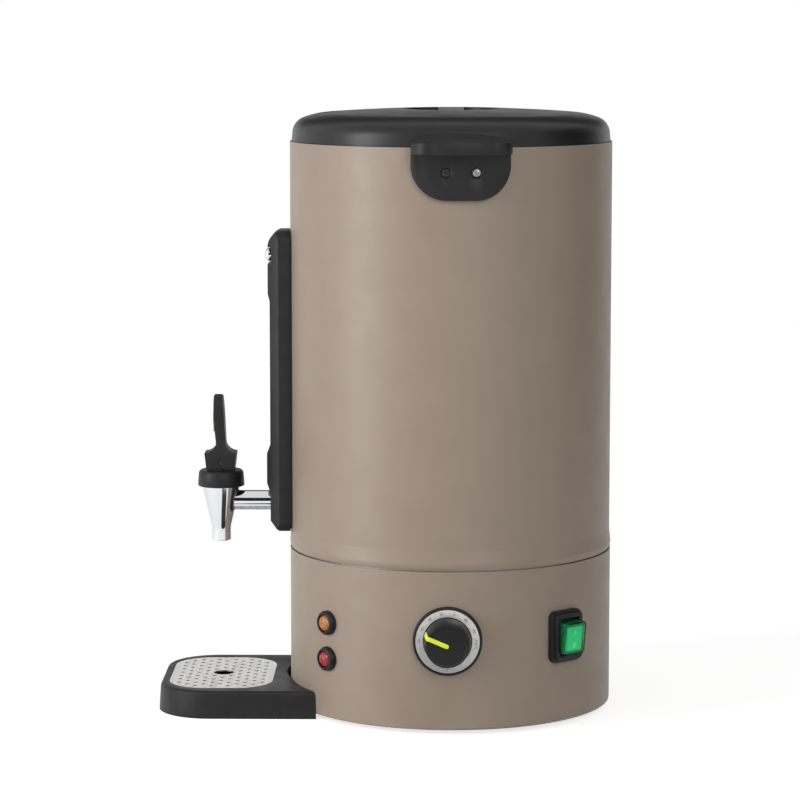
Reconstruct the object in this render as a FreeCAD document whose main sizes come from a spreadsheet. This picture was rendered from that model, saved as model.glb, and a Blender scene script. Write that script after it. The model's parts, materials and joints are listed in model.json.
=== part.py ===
import FreeCAD, Part
import math
import os
import re
import Sketcher
from FreeCAD import Placement, Rotation, Vector

# Hot water urn, millimetres. Z is up and zero at the table, the origin is on the urn's axis.
# The tap, sight gauge and drip tray face -X, the control panel and one handle face -Y.

SIZES = {
    "Casing": {
        "foot_stand": 3.5,
        "base_radius": 121.0,
        "base_wall": 1.0,
        "base_height": 116.5,
        "base_edge_fillet": 1.6,
        "base_lip": 38.5,
        "seam_gap": 0.8,
        "shell_step": 0.7,
        "shell_wall": 0.8,
        "shell_height": 304.7,
        "swage_stand": 0.9,
        "swage_crest": 4.6,
        "swage_height": 14.0,
        "plate_thickness": 1.2,
        "vent_pitch": 12.0,
        "vent_width": 4.0,
        "vent_start": 28.0,
        "vent_length": 32.0,
        "fit_gap": 0.1,
        "slip_gap": 0.4,
    },
    "Feet": {
        "foot_inset": 29.0,
        "foot_radius": 7.5,
        "foot_recess_radius": 4.2,
        "foot_recess_depth": 2.0,
        "foot_screw_radius": 2.0,
        "foot_screw_length": 8.0,
        "screw_head_radius": 3.4,
        "screw_head_height": 1.4,
        "screw_clearance": 0.2,
    },
    "Tank": {
        "tank_gap": 13.3,
        "tank_wall": 0.8,
        "tank_floor_lift": 11.3,
        "tank_rim_drop": 0.7,
        "tank_corner": 8.0,
        "ring_thickness": 1.0,
        "ring_height": 9.0,
        "ring_width": 10.0,
        "joint_ring_height": 20.0,
        "joint_ring_width": 14.0,
    },
    "Lid": {
        "lid_inset": 1.2,
        "lid_wall": 3.0,
        "lid_skirt": 6.0,
        "lid_skirt_draft": 0.6,
        "lid_shoulder_inset": 9.1,
        "lid_shoulder_rise": 18.0,
        "lid_shoulder_radius": 12.6,
        "lid_crown_inset": 23.1,
        "lid_crown_rise": 21.3,
        "lid_crown_radius": 55.0,
        "lid_height": 24.9,
        "well_radius": 36.2,
        "well_depth": 17.0,
        "grip_width": 19.0,
        "rib_thickness": 2.6,
        "liner_inset": 2.8,
        "liner_wall": 1.0,
        "liner_depth": 13.0,
        "seal_reach": 8.0,
        "seal_thickness": 1.6,
        "vent_inset": 25.1,
        "vent_radius": 8.0,
        "vent_depth": 7.0,
        "vent_slot": 1.6,
    },
    "Handles": {
        "handle_azimuth": 3.4,
        "handle_width": 71.4,
        "handle_bottom_drop": 37.3,
        "handle_corner": 25.0,
        "handle_plate": 5.0,
        "hood_reach": 30.0,
        "hood_under_drop": 3.9,
        "hood_front_rise": 4.0,
        "hood_bow": 4.0,
        "hood_bow_radius": 60.0,
        "hood_end_rise": 4.5,
        "hood_apex_rise": 11.7,
        "hood_root": 7.0,
        "hood_corner": 13.0,
        "hood_wall": 3.0,
        "handle_screw_drop": 17.5,
        "handle_screw_spacing": 22.0,
        "handle_screw_radius": 2.0,
        "handle_head_radius": 3.4,
        "dimple_radius": 5.6,
        "dimple_depth": 1.0,
        "handle_head_height": 1.6,
        "handle_nut_radius": 4.2,
        "handle_nut_height": 3.2,
        "handle_screw_length": 13.0,
    },
    "Dial": {
        "dial_azimuth": -0.8,
        "dial_height": 69.8,
        "dial_radius": 25.2,
        "dial_stand": 3.0,
        "scale_outer": 23.2,
        "scale_inner": 17.9,
        "scale_thickness": 0.8,
        "knob_radius": 17.3,
        "knob_face_radius": 15.4,
        "knob_height": 19.0,
        "knob_skirt": 4.0,
        "knob_edge": 1.5,
        "knob_gap": 0.4,
        "pointer_width": 3.2,
        "pointer_stand": 0.4,
        "pointer_depth": 1.0,
        "pointer_angle": 157.5,
        "shaft_radius": 3.0,
        "shaft_run": 0.06,
        "thermostat_size": 36.0,
        "thermostat_depth": 24.0,
        "thermostat_back": 2.8,
    },
    "Lamps": {
        "lamp_azimuth": -47.9,
        "amber_height": 75.2,
        "red_height": 48.3,
        "lamp_radius": 9.0,
        "lamp_stand": 4.6,
        "lamp_round": 2.6,
        "lens_radius": 6.1,
        "lens_stand": 6.0,
        "lens_dome": 2.0,
        "lamp_body_radius": 5.8,
        "lamp_body_length": 22.0,
        "lamp_nut_radius": 9.2,
        "lamp_nut_height": 3.6,
    },
    "Switch": {
        "switch_azimuth": 43.5,
        "switch_height": 67.7,
        "frame_width": 32.0,
        "frame_height": 38.2,
        "frame_corner": 5.0,
        "frame_stand": 3.4,
        "collar_width": 28.0,
        "collar_height": 34.0,
        "collar_stand": 6.6,
        "collar_corner": 4.0,
        "boot_width": 20.8,
        "boot_height": 24.6,
        "boot_corner": 3.0,
        "boot_wall": 1.2,
        "boot_base": 4.0,
        "boot_top": 12.8,
        "boot_play": 1.4,
        "rocker_base": 1.2,
        "rocker_tilt": 6.0,
        "pivot_stand": 2.0,
        "pivot_radius": 1.2,
        "housing_length": 28.0,
        "housing_wall": 1.2,
        "housing_floor": 2.4,
        "blade_width": 6.3,
        "blade_thickness": 0.8,
        "blade_length": 9.0,
    },
    "Gauge": {
        "cover_rise": 205.4,
        "cover_drop": 21.6,
        "cover_half_width": 21.0,
        "cover_end_round": 8.0,
        "cover_reach": 15.1,
        "head_step": 1.5,
        "head_height": 52.8,
        "head_slope": 5.3,
        "head_round": 13.6,
        "head_inset": 9.0,
        "bump_step": 2.7,
        "bump_rise": 37.2,
        "bump_drop": 14.8,
        "bump_run": 7.4,
        "toe_inset": 6.8,
        "toe_height": 8.1,
        "cover_facet": 9.0,
        "cover_wall": 2.4,
        "channel_half": 6.3,
        "channel_depth": 2.8,
        "channel_round": 1.4,
        "channel_web": 1.6,
        "window_width": 9.0,
        "window_drop": 58.0,
        "window_rise": 52.4,
        "glass_radius": 4.0,
        "glass_wall": 1.2,
        "glass_stand": 6.6,
        "glass_rise": 11.9,
        "tee_radius": 10.2,
        "boss_radius": 5.4,
        "boss_rise": 22.4,
        "gauge_nut_radius": 6.4,
        "gauge_nut_height": 13.0,
        "gauge_nut_web": 2.6,
        "gauge_seal": 2.0,
        "cap_radius": 5.4,
        "cap_height": 13.0,
        "cap_roof": 4.8,
        "bracket_height": 12.0,
        "bracket_gap": 0.5,
        "bracket_half_width": 9.0,
        "bracket_reach": 11.0,
        "gauge_screw_drop": 18.8,
        "gauge_screw_head": 4.9,
        "gauge_screw_rim": 3.6,
        "gauge_screw_dome": 1.8,
        "gauge_screw_radius": 2.0,
        "gauge_screw_length": 10.0,
    },
    "Tap": {
        "pipe_rise": 22.3,
        "tap_reach": 53.2,
        "spout_drop": 30.3,
        "spout_radius": 7.4,
        "spout_straight": 9.7,
        "spout_wall": 2.2,
        "cone_rise": 12.2,
        "cone_radius": 14.75,
        "neck_step": 1.35,
        "neck_height": 8.2,
        "seat_drop": 6.6,
        "chamber_foot": 8.2,
        "chamber_step": 1.5,
        "chamber_wall": 2.2,
        "pipe_radius": 7.7,
        "pipe_bore": 5.0,
        "pipe_inset": 12.0,
        "collar_lap": 0.8,
        "tap_collar_height": 12.0,
        "tap_collar_stand": 2.9,
        "collar_round": 1.6,
        "collar_draft": 0.8,
        "collar_web": 2.8,
        "collar_bore": 2.9,
        "stem_radius": 2.5,
        "stem_head_radius": 3.0,
        "stem_head_height": 9.6,
        "pin_rise": 6.0,
        "pin_radius": 1.5,
        "pin_run": 0.05,
        "cup_radius": 7.0,
        "cup_height": 5.2,
        "cup_floor": 2.2,
        "cup_bevel": 1.4,
        "spring_radius": 5.4,
        "spring_wire": 0.6,
        "spring_turns": 5.0,
        "lever_gap": 1.0,
        "skirt_height": 12.5,
        "skirt_half_bottom": 10.55,
        "skirt_half_top": 12.0,
        "skirt_half_depth": 10.0,
        "shoulder_height": 19.0,
        "shoulder_radius": 9.0,
        "neck_front": 3.4,
        "neck_back": 3.9,
        "lever_height": 56.5,
        "grip_rise": 38.0,
        "grip_front": 5.1,
        "grip_back": 2.9,
        "tip_front": 4.9,
        "tip_back": 1.8,
        "neck_half_depth": 6.5,
        "paddle_half_depth": 9.0,
        "slot_half_width": 6.8,
        "slot_half_depth": 3.4,
        "slot_height": 11.6,
        "inset_half_width": 4.0,
        "inset_rise": 28.0,
        "inset_length": 16.0,
        "inset_thickness": 1.4,
        "inset_stand": 0.5,
        "tap_nut_flats": 24.0,
        "tap_nut_length": 6.0,
        "gasket_radius": 10.8,
        "gasket_thickness": 0.8,
    },
    "Tray": {
        "tray_length": 121.5,
        "tray_reach": 98.0,
        "tray_width": 140.0,
        "tray_height": 20.4,
        "tray_corner": 40.0,
        "tray_edge_fillet": 3.0,
        "tray_draft": 3.5,
        "tray_gap": 0.4,
        "tray_floor": 3.0,
        "grille_margin": 7.6,
        "grille_gap": 12.6,
        "grille_half_width": 56.0,
        "grille_corner": 28.0,
        "grille_thickness": 1.0,
        "ledge_width": 2.4,
        "tongue_half_width": 28.0,
        "tongue_reach": 21.0,
        "tongue_lift": 0.3,
        "tongue_thickness": 2.5,
        "notch_inset": 74.0,
        "notch_side": 9.0,
        "notch_radius": 77.7,
        "notch_depth": 7.0,
        "drain_radius": 7.7,
        "hole_radius": 1.6,
        "hole_column": 6.26,
        "hole_row": 11.9,
        "hole_margin": 6.0,
        "hole_columns": 11.0,
        "hole_rows": 9.0,
    },
    "Heating": {
        "heat_plate_inset": 15.0,
        "heat_plate_thickness": 4.0,
        "stud_radius": 3.0,
        "stud_length": 17.0,
        "element_inset": 24.0,
        "element_radius": 4.1,
        "element_leg": 26.0,
        "clamp_thickness": 2.0,
        "clamp_half_width": 10.0,
        "clamp_overhang": 8.0,
        "clamp_nut_radius": 5.6,
        "clamp_nut_height": 4.6,
        "cutout_radius": 11.5,
        "cutout_place": 36.0,
        "cutout_height": 9.0,
        "probe_radius": 3.2,
        "probe_place": 10.0,
        "probe_start": 20.0,
        "probe_length": 30.0,
        "capillary_radius": 0.9,
        "capillary_bend": 4.0,
        "capillary_fall": 14.7,
        "capillary_gap": 17.0,
        "terminal_length": 46.0,
        "terminal_width": 20.0,
        "terminal_height": 18.0,
        "terminal_place": 62.0,
        "terminal_groove": 3.0,
    },
    "Gland": {
        "gland_height": 26.0,
        "gland_radius": 9.0,
        "gland_reach": 11.0,
        "gland_flange": 11.0,
        "gland_flange_thickness": 3.0,
        "gland_thread": 7.8,
        "gland_tail": 12.0,
        "gland_bore": 4.0,
        "gland_nut_radius": 11.0,
        "gland_nut_height": 4.0,
    },
}

# Heights and radii that follow from the sizes above.
RULES = {
    "shell_radius": "base_radius - shell_step",
    "foot_circle": "base_radius - foot_inset",
    "tank_radius": "shell_radius - tank_gap",
    "lid_radius": "shell_radius - lid_inset",
    "vent_place": "lid_radius - vent_inset",
    "heat_plate_radius": "tank_radius - heat_plate_inset",
    "element_circle": "heat_plate_radius - element_inset",
    "clamp_half_length": "element_circle + clamp_overhang",
    "capillary_inset": "base_radius - capillary_gap",
    "capillary_drop": "heat_base - capillary_fall",
    "tap_place": "shell_radius + tap_reach",
    "pipe_end": "tank_radius - pipe_inset",
    "pipe_height": "tank_base + pipe_rise",
    "tray_front": "base_radius + tray_reach",
    "grille_front": "tray_front - grille_margin",
    "grille_back": "base_radius + grille_gap",
    "notch_place": "base_radius - notch_inset",
    "liner_radius": "tank_radius - liner_inset",
    "base_inner": "base_radius - base_wall",
    "base_top": "foot_stand + base_height",
    "base_floor": "foot_stand + base_wall",
    "plate_top": "base_floor + plate_thickness",
    "shell_bottom": "base_top + seam_gap",
    "shell_inner": "shell_radius - shell_wall",
    "shell_top": "shell_bottom + shell_height",
    "tank_outer": "tank_radius + tank_wall",
    "tank_base": "base_top + tank_floor_lift",
    "tank_floor": "tank_base + tank_wall",
    "tank_rim": "shell_top - tank_rim_drop",
    "ring_top": "tank_rim - tank_wall",
    "lid_bottom": "tank_rim + 3 * fit_gap",
    "lid_top": "lid_bottom + lid_height",
    "heat_base": "tank_base - fit_gap - heat_plate_thickness",
    "element_height": "heat_base - fit_gap - element_radius",
    "clamp_top": "element_height - element_radius - fit_gap",
    "pipe_hole": "pipe_radius + slip_gap",
    "spout_bottom": "pipe_height - spout_drop",
    "spout_bore": "spout_radius - spout_wall",
    "cone_top": "pipe_height + cone_rise",
    "neck_radius": "cone_radius - neck_step",
    "neck_top": "cone_top + neck_height",
    "seat_height": "pipe_height - seat_drop",
    "chamber_radius": "neck_radius - chamber_wall",
    "collar_bottom": "cone_top - collar_lap",
    "collar_top": "collar_bottom + tap_collar_height",
    "collar_radius": "cone_radius + tap_collar_stand",
    "stem_top": "collar_top + slip_gap + stem_head_height",
    "pin_height": "collar_top + pin_rise",
    "lever_bottom": "collar_top + lever_gap",
    "skirt_top": "lever_bottom + skirt_height",
    "shoulder_top": "lever_bottom + shoulder_height",
    "grip_height": "lever_bottom + grip_rise",
    "lever_top": "lever_bottom + lever_height",
    "slot_top": "lever_bottom + slot_height",
    "inset_bottom": "lever_bottom + inset_rise",
    "inset_top": "inset_bottom + inset_length",
    "cover_bottom": "pipe_height - cover_drop",
    "cover_top": "pipe_height + cover_rise",
    "cover_front": "shell_radius + cover_reach",
    "head_front": "cover_front + head_step",
    "head_bottom": "cover_top - head_height",
    "bump_front": "cover_front + bump_step",
    "bump_top": "pipe_height + bump_rise",
    "bump_bottom": "pipe_height + bump_drop",
    "toe_front": "cover_front - toe_inset",
    "toe_top": "cover_bottom + toe_height",
    "facet_start": "cover_half_width - cover_facet",
    "window_bottom": "pipe_height + window_rise",
    "window_top": "cover_top - window_drop",
    "glass_place": "shell_radius + glass_stand",
    "glass_bottom": "pipe_height + glass_rise",
    "boss_top": "pipe_height + boss_rise",
    "gauge_screw_height": "cover_top - gauge_screw_drop",
    "screw_seat": "head_front - channel_depth",
    "bracket_low": "gauge_screw_height - bracket_height / 2",
    "cover_back": "shell_radius + 2 * fit_gap",
    "hood_under": "shell_top - hood_under_drop",
    "handle_screw_height": "shell_top - handle_screw_drop",
    "grille_top": "tray_height",
    "drain_place": "(grille_front + grille_back) / 2",
    "grille_bottom": "grille_top - grille_thickness",
    "ledge_top": "grille_bottom - fit_gap",
    "knob_base": "dial_stand + knob_gap",
    "knob_bore_top": "knob_base + 0.7 * knob_height",
    "shaft_inset": "base_wall + thermostat_back + thermostat_depth / 3",
    "housing_wide": "boot_width + 2 * fit_gap",
    "housing_tall": "boot_height + 2 * boot_play",
    "rocker_wide": "boot_width - 2 * boot_wall - 2 * fit_gap",
    "rocker_tall": "boot_height - 2 * boot_wall - 2 * fit_gap",
    "rocker_top": "boot_top - boot_wall - fit_gap - pivot_stand",
    "cap_top": "bracket_low - bracket_gap",
    "glass_top": "cap_top - cap_roof",
    "cap_bottom": "cap_top - cap_height",
    "tee_half": "glass_place - shell_radius - fit_gap - gasket_thickness - fit_gap",
    "gasket_inner": "tank_radius - gasket_radius^2 / (2 * tank_radius) - 2 * fit_gap",
    "dome_half": "lid_radius - lid_crown_inset",
    "dome_rise": "lid_height - lid_crown_rise",
    "dome_radius": "(dome_half^2 + dome_rise^2) / (2 * dome_rise)",
    "handle_low": "shell_top - handle_bottom_drop",
    "hood_arch": "((handle_width / 2 + 2)^2 + (hood_apex_rise - hood_end_rise)^2)"
                 " / (2 * (hood_apex_rise - hood_end_rise))",
}

doc = FreeCAD.newDocument("hot_water_urn")
sheet = doc.addObject("Spreadsheet::Sheet", "dims")
ALIASES = {}
PARTS = []


def write_sizes():
    """Put every driving size in the sheet, one row each, under its group's heading."""
    row = 1
    for title, sizes in SIZES.items():
        sheet.set(f"A{row}", title)
        row += 1
        for alias, number in sizes.items():
            sheet.set(f"A{row}", alias)
            sheet.set(f"B{row}", str(number))
            sheet.setAlias(f"B{row}", alias)
            ALIASES[alias] = row
            row += 1
    doc.recompute()


def formula(text):
    """Turn a text of size names into an expression on the sheet. A rule may use other rules."""
    def swap(match):
        word = match.group(0)
        if word in RULES:
            return "(" + formula(RULES[word]) + ")"
        if word in ALIASES:
            return "dims." + word
        return word
    return re.sub(r"[a-z][a-z0-9_]*", swap, str(text))


def size(text):
    """The value that a text of size names has now."""
    return float(sheet.evalExpression(formula(text)))


def bind(thing, prop, text):
    thing.setExpression(prop, formula(text))


# Sketches and features

def new_body(name):
    return doc.addObject("PartDesign::Body", name)


def new_sketch(body, name, plane, lift=None):
    """An empty sketch on one of the body's own origin planes, lifted along its normal."""
    sketch = body.newObject("Sketcher::SketchObject", name)
    support = [item for item in body.Origin.OriginFeatures if item.Role == plane][0]
    sketch.AttachmentSupport = [(support, "")]
    sketch.MapMode = "FlatFace"
    if lift is not None:
        bind(sketch, ".AttachmentOffset.Base.z", lift)
    return sketch


def pin_point(sketch, index, end, x_text, y_text):
    """Hold one end of a line or arc, or a circle's centre, at a place given by size names."""
    for kind, text in (("DistanceX", x_text), ("DistanceY", y_text)):
        rule = Sketcher.Constraint(kind, -1, 1, index, end, size(text))
        number = sketch.addConstraint(rule)
        bind(sketch, f"Constraints[{number}]", text)


def draw_circle(sketch, x_text, y_text, radius_text):
    centre = Vector(size(x_text), size(y_text), 0)
    circle = Part.Circle(centre, Vector(0, 0, 1), size(radius_text))
    index = sketch.addGeometry(circle, False)
    pin_point(sketch, index, 3, x_text, y_text)
    number = sketch.addConstraint(Sketcher.Constraint("Radius", index, size(radius_text)))
    bind(sketch, f"Constraints[{number}]", radius_text)


def arc_between(start, end, radius, side):
    """The short arc from start to end, bulging to the left or the right of the way there."""
    way = end - start
    normal = Vector(-way.y, way.x, 0).normalize()
    lean = math.sqrt(max(radius ** 2 - way.Length ** 2 / 4, 0))
    centre = (start + end) * 0.5 + normal * (-lean if side == "left" else lean)
    circle = Part.Circle(centre, Vector(0, 0, 1), radius)
    first, last = (end, start) if side == "left" else (start, end)
    low = math.atan2(first.y - centre.y, first.x - centre.x)
    high = math.atan2(last.y - centre.y, last.x - centre.x)
    return Part.ArcOfCircle(circle, low, high)


def draw_outline(sketch, points):
    """Draw a closed outline. A point is (x, y) before a line, or (x, y, side, radius) before an arc."""
    places = [Vector(size(point[0]), size(point[1]), 0) for point in points]
    count = len(points)
    ends = []
    for number, point in enumerate(points):
        start = places[number]
        end = places[(number + 1) % count]
        if len(point) == 2:
            index = sketch.addGeometry(Part.LineSegment(start, end), False)
            ends.append((index, 1, 2))
            continue
        radius_text = point[3]
        index = sketch.addGeometry(arc_between(start, end, size(radius_text), point[2]), False)
        rule = sketch.addConstraint(Sketcher.Constraint("Radius", index, size(radius_text)))
        bind(sketch, f"Constraints[{rule}]", radius_text)
        ends.append((index, 2, 1) if point[2] == "left" else (index, 1, 2))
    for number in range(count):
        index, first, last = ends[number]
        after, after_first, after_last = ends[(number + 1) % count]
        sketch.addConstraint(Sketcher.Constraint("Coincident", index, last, after, after_first))
        pin_point(sketch, index, first, points[number][0], points[number][1])


def box_points(low_x, low_y, high_x, high_y):
    return [(low_x, low_y), (high_x, low_y), (high_x, high_y), (low_x, high_y)]


def rounded_box(low_x, low_y, high_x, high_y, corner):
    """A rectangle with four round corners, counter-clockwise from its lower left."""
    arc = ("right", corner)
    return [
        (f"{low_x} + {corner}", low_y),
        (f"{high_x} - ({corner})", low_y) + arc,
        (high_x, f"{low_y} + {corner}"),
        (high_x, f"{high_y} - ({corner})") + arc,
        (f"{high_x} - ({corner})", high_y),
        (f"{low_x} + {corner}", high_y) + arc,
        (low_x, f"{high_y} - ({corner})"),
        (low_x, f"{low_y} + {corner}") + arc,
    ]


def outline_sketch(body, name, plane, points, lift=None):
    sketch = new_sketch(body, name, plane, lift)
    draw_outline(sketch, points)
    return sketch


def circle_sketch(body, name, plane, circles, lift=None):
    sketch = new_sketch(body, name, plane, lift)
    for x_text, y_text, radius_text in circles:
        draw_circle(sketch, x_text, y_text, radius_text)
    return sketch


def feature(body, kind, name, sketch):
    item = body.newObject("PartDesign::" + kind, name)
    item.Profile = sketch
    return item


def pad(body, name, sketch, length, both=False, back=False):
    item = feature(body, "Pad", name, sketch)
    bind(item, "Length", length)
    item.SideType = "Symmetric" if both else "One side"
    item.Reversed = back
    return item


def pocket(body, name, sketch, length, both=False, back=False):
    item = feature(body, "Pocket", name, sketch)
    bind(item, "Length", length)
    item.SideType = "Symmetric" if both else "One side"
    item.Reversed = back
    return item


def turn(body, name, sketch, kind="Revolution"):
    """Revolve or groove a profile about the upright axis of its sketch."""
    item = feature(body, kind, name, sketch)
    item.ReferenceAxis = (sketch, ["V_Axis"])
    item.Angle = 360
    return item


def revolved(name, points):
    """A body turned about Z from a profile of radius and height."""
    body = new_body(name + "_body")
    sketch = outline_sketch(body, name + "_profile", "XZ_Plane", points)
    turn(body, name + "_turned", sketch)
    return body


def box_solid(name, low, high):
    """A box between two corners, each given by size names."""
    box = doc.addObject("Part::Box", name)
    for prop, low_text, high_text in zip(("Length", "Width", "Height"), low, high):
        bind(box, prop, f"{high_text} - ({low_text})")
    for axis, text in zip("xyz", low):
        bind(box, ".Placement.Base." + axis, text)
    return box


def rod(name, radius, length, place, direction="z"):
    """A cylinder from a place along one axis; its end is on the plus side."""
    cylinder = doc.addObject("Part::Cylinder", name)
    bind(cylinder, "Radius", radius)
    bind(cylinder, "Height", length)
    turns = {"x": Rotation(Vector(0, 1, 0), 90), "y": Rotation(Vector(1, 0, 0), -90), "z": Rotation()}
    cylinder.Placement.Rotation = turns[direction]
    for axis, text in zip("xyz", place):
        bind(cylinder, ".Placement.Base." + axis, text)
    return cylinder


def wall_rod(name, radius, azimuth, height, low, high, casing="base_radius", side="0"):
    """A cylinder square to the casing, from low to high outward of its surface."""
    cylinder = doc.addObject("Part::Cylinder", name)
    bind(cylinder, "Radius", radius)
    bind(cylinder, "Height", f"{high} - ({low})")
    cylinder.Placement = wall_foot(azimuth, height, low, casing, side)
    return cylinder


def wall_foot(azimuth, height, low, casing="base_radius", side="0"):
    """A place on the casing, moved outward by low and along the wall by side."""
    foot = Placement(Vector(size(side), 0, size(low)), Rotation())
    return wall_frame(azimuth, height, casing).multiply(foot)


def hexagon(name, radius, length):
    """A six-sided prism on its own Z axis, its corners at the given radius."""
    prism = doc.addObject("Part::Prism", name)
    prism.Polygon = 6
    bind(prism, "Circumradius", radius)
    bind(prism, "Height", length)
    return prism


def cut(name, base, tool):
    item = doc.addObject("Part::Cut", name)
    item.Base = base
    item.Tool = tool
    return item


def fuse(name, pieces):
    item = doc.addObject("Part::MultiFuse", name)
    item.Shapes = pieces
    item.Refine = True
    return item


def common(name, pieces):
    item = doc.addObject("Part::MultiCommon", name)
    item.Shapes = pieces
    return item


def group(name, pieces):
    """Several separate solids in one node."""
    item = doc.addObject("Part::Compound", name)
    item.Links = pieces
    return item


def keep(label, item):
    """Name a finished sub-part; its label is its file name."""
    item.Label = label
    PARTS.append(item)
    return item


def wall_frame(azimuth, height, radius="base_radius"):
    """A frame on the casing: x along the wall, y up, z outward. Azimuth 0 faces -Y."""
    angle = math.radians(size(azimuth))
    reach = size(radius)
    place = Vector(reach * math.sin(angle), -reach * math.cos(angle), size(height))
    return Placement(place, Rotation(size(azimuth), 0, 90))


def casing_core(name, radius, low, high):
    """A plain cylinder on the urn's axis, used to fit a piece to the round casing."""
    return rod(name, radius, f"{high} - ({low})", ("0", "0", low))


# Casing

def base_shell():
    body = revolved("base_shell", [
        ("base_radius - base_lip", "foot_stand"),
        ("base_radius - base_edge_fillet", "foot_stand", "right", "base_edge_fillet"),
        ("base_radius", "foot_stand + base_edge_fillet"),
        ("base_radius", "base_top"),
        ("base_inner", "base_top"),
        ("base_inner", "base_floor"),
        ("base_radius - base_lip", "base_floor"),
    ])
    tools = []
    for name, azimuth, height, radius in (
        ("dial_hole", "dial_azimuth", "dial_height", "shaft_radius + 2 * slip_gap"),
        ("amber_hole", "lamp_azimuth", "amber_height", "lamp_body_radius + slip_gap"),
        ("red_hole", "lamp_azimuth", "red_height", "lamp_body_radius + slip_gap"),
        ("gland_hole", "180", "gland_height", "gland_thread + screw_clearance"),
    ):
        tools.append(wall_rod(name, radius, azimuth, height, "-4 * base_wall", "2 * base_wall"))
    opening = new_body("switch_hole")
    outline = outline_sketch(opening, "switch_hole_outline", "XY_Plane",
                             half_box("housing_wide", "housing_tall", "boot_corner"), "-6 * base_wall")
    pad(opening, "switch_hole_pad", outline, "8 * base_wall")
    opening.Placement = wall_frame("switch_azimuth", "switch_height")
    tools.append(opening)
    tools += foot_rods("shell_foot_hole", "foot_screw_radius + screw_clearance", "foot_stand - 1", "4")
    return keep("base_shell", cut("base_shell_cut", body, fuse("base_shell_tools", tools)))


def foot_rods(name, radius, low, length):
    """One upright rod at each of the four feet."""
    rods = []
    for number in range(4):
        angle = 45 + 90 * number
        place = (f"foot_circle * cos({angle})", f"foot_circle * sin({angle})", low)
        rods.append(rod(f"{name}_{number + 1}", radius, length, place))
    return rods


def bottom_plate():
    disc = casing_core("bottom_disc", "base_inner - slip_gap", "base_floor", "plate_top")
    holes = foot_rods("plate_foot_hole", "foot_screw_radius", "foot_stand", "6")
    vents = []
    for number in range(9):
        place = f"({number} - 4) * vent_pitch"
        vents.append(box_solid(f"vent_{number + 1}",
                               (f"{place} - vent_width / 2", "-vent_start - vent_length", "foot_stand"),
                               (f"{place} + vent_width / 2", "-vent_start", "plate_top + 1")))
    tools = fuse("bottom_tools", holes + vents)
    return keep("bottom_plate", cut("bottom_plate_cut", disc, tools))


def rubber_feet():
    feet = []
    pads = foot_rods("foot_pad", "foot_radius", "0", "foot_stand - fit_gap")
    recesses = foot_rods("foot_recess", "foot_recess_radius", "0", "foot_recess_depth")
    bores = foot_rods("foot_bore", "foot_screw_radius + fit_gap", "0", "foot_stand")
    for number in range(4):
        tool = fuse(f"foot_tool_{number + 1}", [recesses[number], bores[number]])
        feet.append(cut(f"foot_{number + 1}", pads[number], tool))
    return keep("rubber_feet", group("rubber_feet_group", feet))


def feet_screws():
    screws = []
    heads = foot_rods("foot_head", "screw_head_radius", "foot_recess_depth - screw_head_height",
                      "screw_head_height")
    shanks = foot_rods("foot_shank", "foot_screw_radius", "foot_recess_depth", "foot_screw_length")
    for number in range(4):
        screws.append(fuse(f"foot_screw_{number + 1}", [heads[number], shanks[number]]))
    return keep("feet_screws", group("feet_screws_group", screws))


def outer_shell():
    body = revolved("outer_shell", [
        ("shell_inner - fit_gap", "shell_bottom"),
        ("shell_radius - fit_gap", "shell_bottom", "right", "2 * swage_crest"),
        ("shell_radius + swage_stand", "shell_bottom + swage_crest"),
        ("shell_radius", "shell_bottom + swage_height"),
        ("shell_radius", "shell_top"),
        ("shell_inner", "shell_top"),
        ("shell_inner", "shell_bottom + swage_height"),
        ("shell_inner + swage_stand", "shell_bottom + swage_crest", "left", "2 * swage_crest"),
    ])
    tools = [rod("shell_pipe_hole", "pipe_hole", "10", ("-shell_radius - 5", "0", "pipe_height"), "x")]
    tools += handle_rods("shell_screw_hole", "handle_screw_radius + screw_clearance", "-5", "10")
    return keep("outer_shell", cut("outer_shell_cut", body, fuse("outer_shell_tools", tools)))


def joining_ring():
    body = revolved("joining_ring", [
        ("shell_inner - slip_gap - ring_thickness", "tank_base - joint_ring_height"),
        ("shell_inner - slip_gap", "tank_base - joint_ring_height"),
        ("shell_inner - slip_gap", "tank_base - fit_gap"),
        ("shell_inner - slip_gap - joint_ring_width", "tank_base - fit_gap"),
        ("shell_inner - slip_gap - joint_ring_width", "tank_base - fit_gap - ring_thickness"),
        ("shell_inner - slip_gap - ring_thickness", "tank_base - fit_gap - ring_thickness"),
    ])
    return keep("joining_ring", body)


def support_ring():
    body = revolved("support_ring", [
        ("shell_inner - fit_gap - ring_thickness", "ring_top - ring_height"),
        ("shell_inner - fit_gap", "ring_top - ring_height"),
        ("shell_inner - fit_gap", "ring_top"),
        ("shell_inner - fit_gap - ring_width", "ring_top"),
        ("shell_inner - fit_gap - ring_width", "ring_top - ring_thickness"),
        ("shell_inner - fit_gap - ring_thickness", "ring_top - ring_thickness"),
    ])
    return keep("support_ring", body)


def water_tank():
    body = revolved("water_tank", [
        ("0", "tank_base"),
        ("tank_outer - tank_corner", "tank_base", "right", "tank_corner"),
        ("tank_outer", "tank_base + tank_corner"),
        ("tank_outer", "tank_rim - tank_wall"),
        ("shell_inner - slip_gap", "tank_rim - tank_wall"),
        ("shell_inner - slip_gap", "tank_rim"),
        ("tank_radius", "tank_rim"),
        ("tank_radius", "tank_base + tank_corner", "left", "tank_corner - tank_wall"),
        ("tank_outer - tank_corner", "tank_floor"),
        ("0", "tank_floor"),
    ])
    hole = rod("tank_pipe_hole", "pipe_radius + fit_gap", "10", ("-tank_outer - 3", "0", "pipe_height"), "x")
    return keep("water_tank", cut("water_tank_cut", body, hole))


# Heating parts under the tank

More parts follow.
